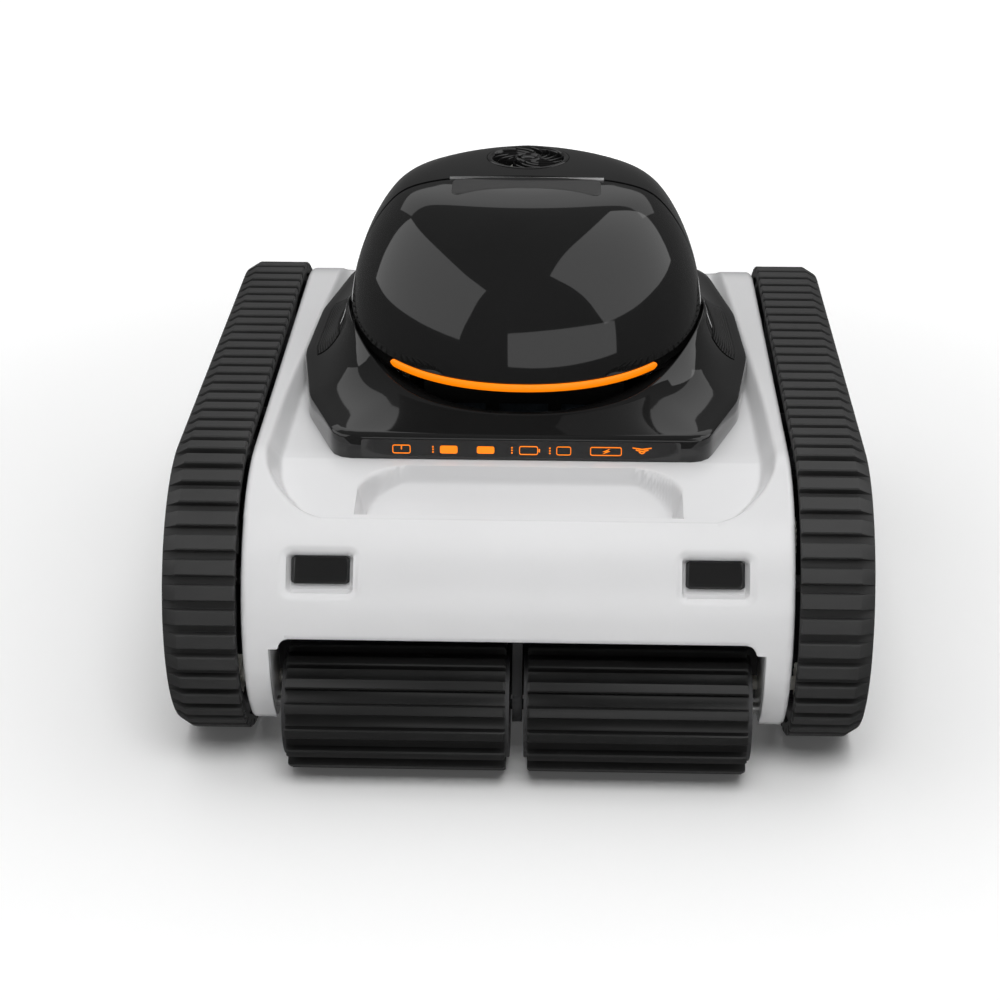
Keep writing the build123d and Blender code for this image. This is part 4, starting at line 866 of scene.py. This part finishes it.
def make_belts():
    """Cleated rubber loops with chamfered outer ends and a guide rib inside."""
    wheel_base, outer, cleats = REAR_Y - FRONT_Y, 83.5, 80
    arc = math.pi * BELT_CENTRE_RADIUS
    length = 2 * wheel_base + 2 * arc
    pitch = length / cleats
    half = 0.31 * pitch
    offsets = [(-0.5 * pitch, 0.0), (-half - 0.9, 0.0), (-half - 0.35, 0.35), (-half + 0.05, 3.7),
               (-half + 0.7, 4.45), (0.0, 4.5), (half - 0.7, 4.45), (half - 0.05, 3.7), (half + 0.35, 0.35),
               (half + 0.9, 0.0)]
    columns = [(154.5, 3.2), (155.3, 4.5), (186.6, 4.5), (187.6, 4.1), (194.4, -0.15), (195.0, -0.7)]
    under = [(195.0, -3.0), (177.7, -3.0), (177.4, -6.0), (172.1, -6.0), (171.8, -3.0), (154.5, -3.0)]
    points = []
    for cleat in range(cleats):
        for offset, height in offsets:
            y, z, ny, nz = loop_point((cleat * pitch + offset) % length, wheel_base, arc)
            section = [(x, min(height, cap)) for x, cap in columns] + under
            points += [(x, y + ny * (outer + up), z + nz * (outer + up)) for x, up in section]
    count = len(columns) + len(under)
    faces = grid_faces(cleats * len(offsets), count, close_rows=True, close_cols=True)
    for name, spots, sides in both_sides(points, [face[::-1] for face in faces]):
        piece("belt_" + name, spots, sides, "body", "black_rubber", stands_for=("track_belt_" + name,),
              angle=28)


def loop_point(s, wheel_base, arc):
    """Centre-line point and outward direction at a distance s round the belt."""
    if s < wheel_base:
        return REAR_Y - s, AXLE_Z, 0.0, 1.0
    s -= wheel_base
    if s < arc:
        turn = s / BELT_CENTRE_RADIUS
        return FRONT_Y, AXLE_Z, -math.sin(turn), math.cos(turn)
    s -= arc
    if s < wheel_base:
        return FRONT_Y + s, AXLE_Z, 0.0, -1.0
    turn = (s - wheel_base) / BELT_CENTRE_RADIUS
    return REAR_Y, AXLE_Z, math.sin(turn), -math.cos(turn)


def make_brushes():
    """Rubber sleeves with sixteen rounded fins and a collar at each end."""
    centre_y, centre_z, tip, root, fins = -199.0, 38.8, 38.0, 33.4, 16
    stations = [(6.2, -4.0), (6.2, -0.8), (7.4, 0.0), (127.0, 0.0), (128.4, -0.8), (128.4, -4.0)]
    profile = []
    pitch = 2 * math.pi / fins
    half = 3.25 / tip
    flank = ((0.045, root), (0.012, root + 0.5), (-0.004, tip - 0.9), (-0.022, tip - 0.15))
    for fin in range(fins):
        middle = fin * pitch
        profile.append((middle - 0.5 * pitch, root))
        profile += [(middle - half - shift, radius) for shift, radius in flank]
        profile.append((middle, tip))
        profile += [(middle + half + shift, radius) for shift, radius in reversed(flank)]
    points = []
    for x, drop in stations:
        for angle, radius in profile:
            r = radius + (drop if radius > root + 1 else max(drop, -3.0) * 0.6)
            points.append((x, centre_y + r * math.cos(angle), centre_z + r * math.sin(angle)))
    count = len(profile)
    faces = grid_faces(len(stations), count, close_cols=True)
    for name, spots, sides in both_sides(points, faces):
        sleeve = piece("brush_" + name, spots, sides, "brush_" + name, "black_rubber", "brush_rubber",
                       ("brush_sleeve_" + name,), 32)
        thicken(sleeve, 2.4)


# ---- everything carried over from the frame ----
def dress_nodes():
    """Gives each node of the frame its material, and softens the edges of those that show."""
    slots = {part["node"]: part["material_slot"] for part in frame["record"]["subparts"]}
    for name, obj in frame["nodes"].items():
        obj.data.materials.clear()
        obj.data.materials.append(MATERIALS[slots[name]])
        if obj.hide_render:
            continue
        weld = obj.modifiers.new("Weld", "WELD")
        weld.merge_threshold = 0.01 * MM
        bevel = obj.modifiers.new("Soft edges", "BEVEL")
        bevel.width = 0.35 * MM
        bevel.segments = 2
        bevel.limit_method = "ANGLE"
        bevel.angle_limit = math.radians(38)
        bevel.use_clamp_overlap = True


# ---- stage ----
def area_light(name, place, target, width, depth, power):
    data = bpy.data.lights.new(name, "AREA")
    data.shape = "RECTANGLE"
    data.size = width
    data.size_y = depth
    data.energy = power
    light = bpy.data.objects.new(name, data)
    light.location = place
    light.rotation_euler = (Vector(target) - Vector(place)).to_track_quat("-Z", "Y").to_euler()
    bpy.context.scene.collection.objects.link(light)
    return light


def make_floor():
    """Pale floor with painted light: its glow grows away from the object and leaves painted shade round it;
    the floor isn't seen in its gloss.
    """
    material, nodes, links = node_tree("floor_white")
    shader = nodes["Principled BSDF"]
    shader.inputs["Base Color"].default_value = (0.92, 0.92, 0.92, 1)
    shader.inputs["Roughness"].default_value = 0.6
    shader.inputs["Specular IOR Level"].default_value = 0.2
    shader.inputs["Emission Color"].default_value = (1, 1, 1, 1)
    place = nodes.new("ShaderNodeTexCoord")
    reach = nodes.new("ShaderNodeVectorMath")
    reach.operation = "LENGTH"
    # Painted light: floor emission that whitens the far floor and fades near the object, so the floor there
    # reads as painted shade
    glow = nodes.new("ShaderNodeMapRange")
    glow.interpolation_type = "SMOOTHSTEP"
    for limit, value in (("From Min", 0.3), ("From Max", 1.1), ("To Min", 0.05), ("To Max", 0.44)):
        glow.inputs[limit].default_value = value
    links.new(place.outputs["Object"], reach.inputs["Vector"])
    links.new(reach.outputs["Value"], glow.inputs["Value"])
    links.new(glow.outputs["Result"], shader.inputs["Emission Strength"])
    mesh = bpy.data.meshes.new("floor")
    half = 14.0
    corners = [(-half, -half, 0), (half, -half, 0), (half, half, 0), (-half, half, 0)]
    mesh.from_pydata(corners, [], [(0, 1, 2, 3)])
    mesh.materials.append(material)
    floor = bpy.data.objects.new("floor", mesh)
    bpy.context.scene.collection.objects.link(floor)
    floor.visible_glossy = False


def make_lights():
    """Two soft fills that the gloss doesn't show, and four cards that only the gloss shows."""
    world = bpy.data.worlds.new("studio")
    world.use_nodes = True
    background = world.node_tree.nodes["Background"]
    background.inputs["Color"].default_value = (1, 1, 1, 1)
    background.inputs["Strength"].default_value = 0.12
    bpy.context.scene.world = world
    for name, place, target, width, depth, power in (
            ("top_fill", (0.0, 0.9, 3.4), (0, 0.9, 0), 7.0, 7.0, 150),
            ("front_fill", (0.15, -1.35, 2.2), (0, 0, 0.1), 1.2, 1.2, 27)):
        area_light(name, place, target, width, depth, power).visible_glossy = False
    for name, place, target, width, depth, power in (
            ("left_card", (-1.25, -0.30, 0.85), (0, 0, 0.22), 2.4, 1.1, 8.0),
            ("right_card", (1.45, -0.15, 1.5), (0, 0, 0.2), 3.0, 2.1, 20.0),
            ("low_card", (0.46, -1.1, 0.30), (0, 0, 0.2), 1.5, 0.36, 1.6),
            ("back_card", (0.0, 2.0, 1.9), (0, 0, 0.2), 4.4, 0.8, 6.0)):
        area_light(name, place, target, width, depth, power).visible_diffuse = False


def make_camera():
    camera = bpy.data.objects.new("camera", bpy.data.cameras.new("camera"))
    camera.data.lens = 82.8
    camera.data.sensor_width = 36.0
    camera.location = (0.025245, -1.333984, 0.696003)
    camera.rotation_euler = (math.radians(65.0), 0.0, math.radians(1.77))
    bpy.context.scene.collection.objects.link(camera)
    bpy.context.scene.camera = camera
    bpy.context.scene.view_settings.view_transform = "Standard"


make_floor()
make_lights()
make_camera()
make_shell()
make_cheek_posts()
make_lenses()
dome_rows = dome_grid()
make_dome(dome_rows)
make_light_strip(dome_rows)
plinth_rings = plinth_grid(dome_rows)
make_plinth(plinth_rings)
make_display()
make_icons()
make_grip_plate(dome_rows)
make_outlet()
make_side_meshes(plinth_rings)
make_belts()
make_brushes()
dress_nodes()
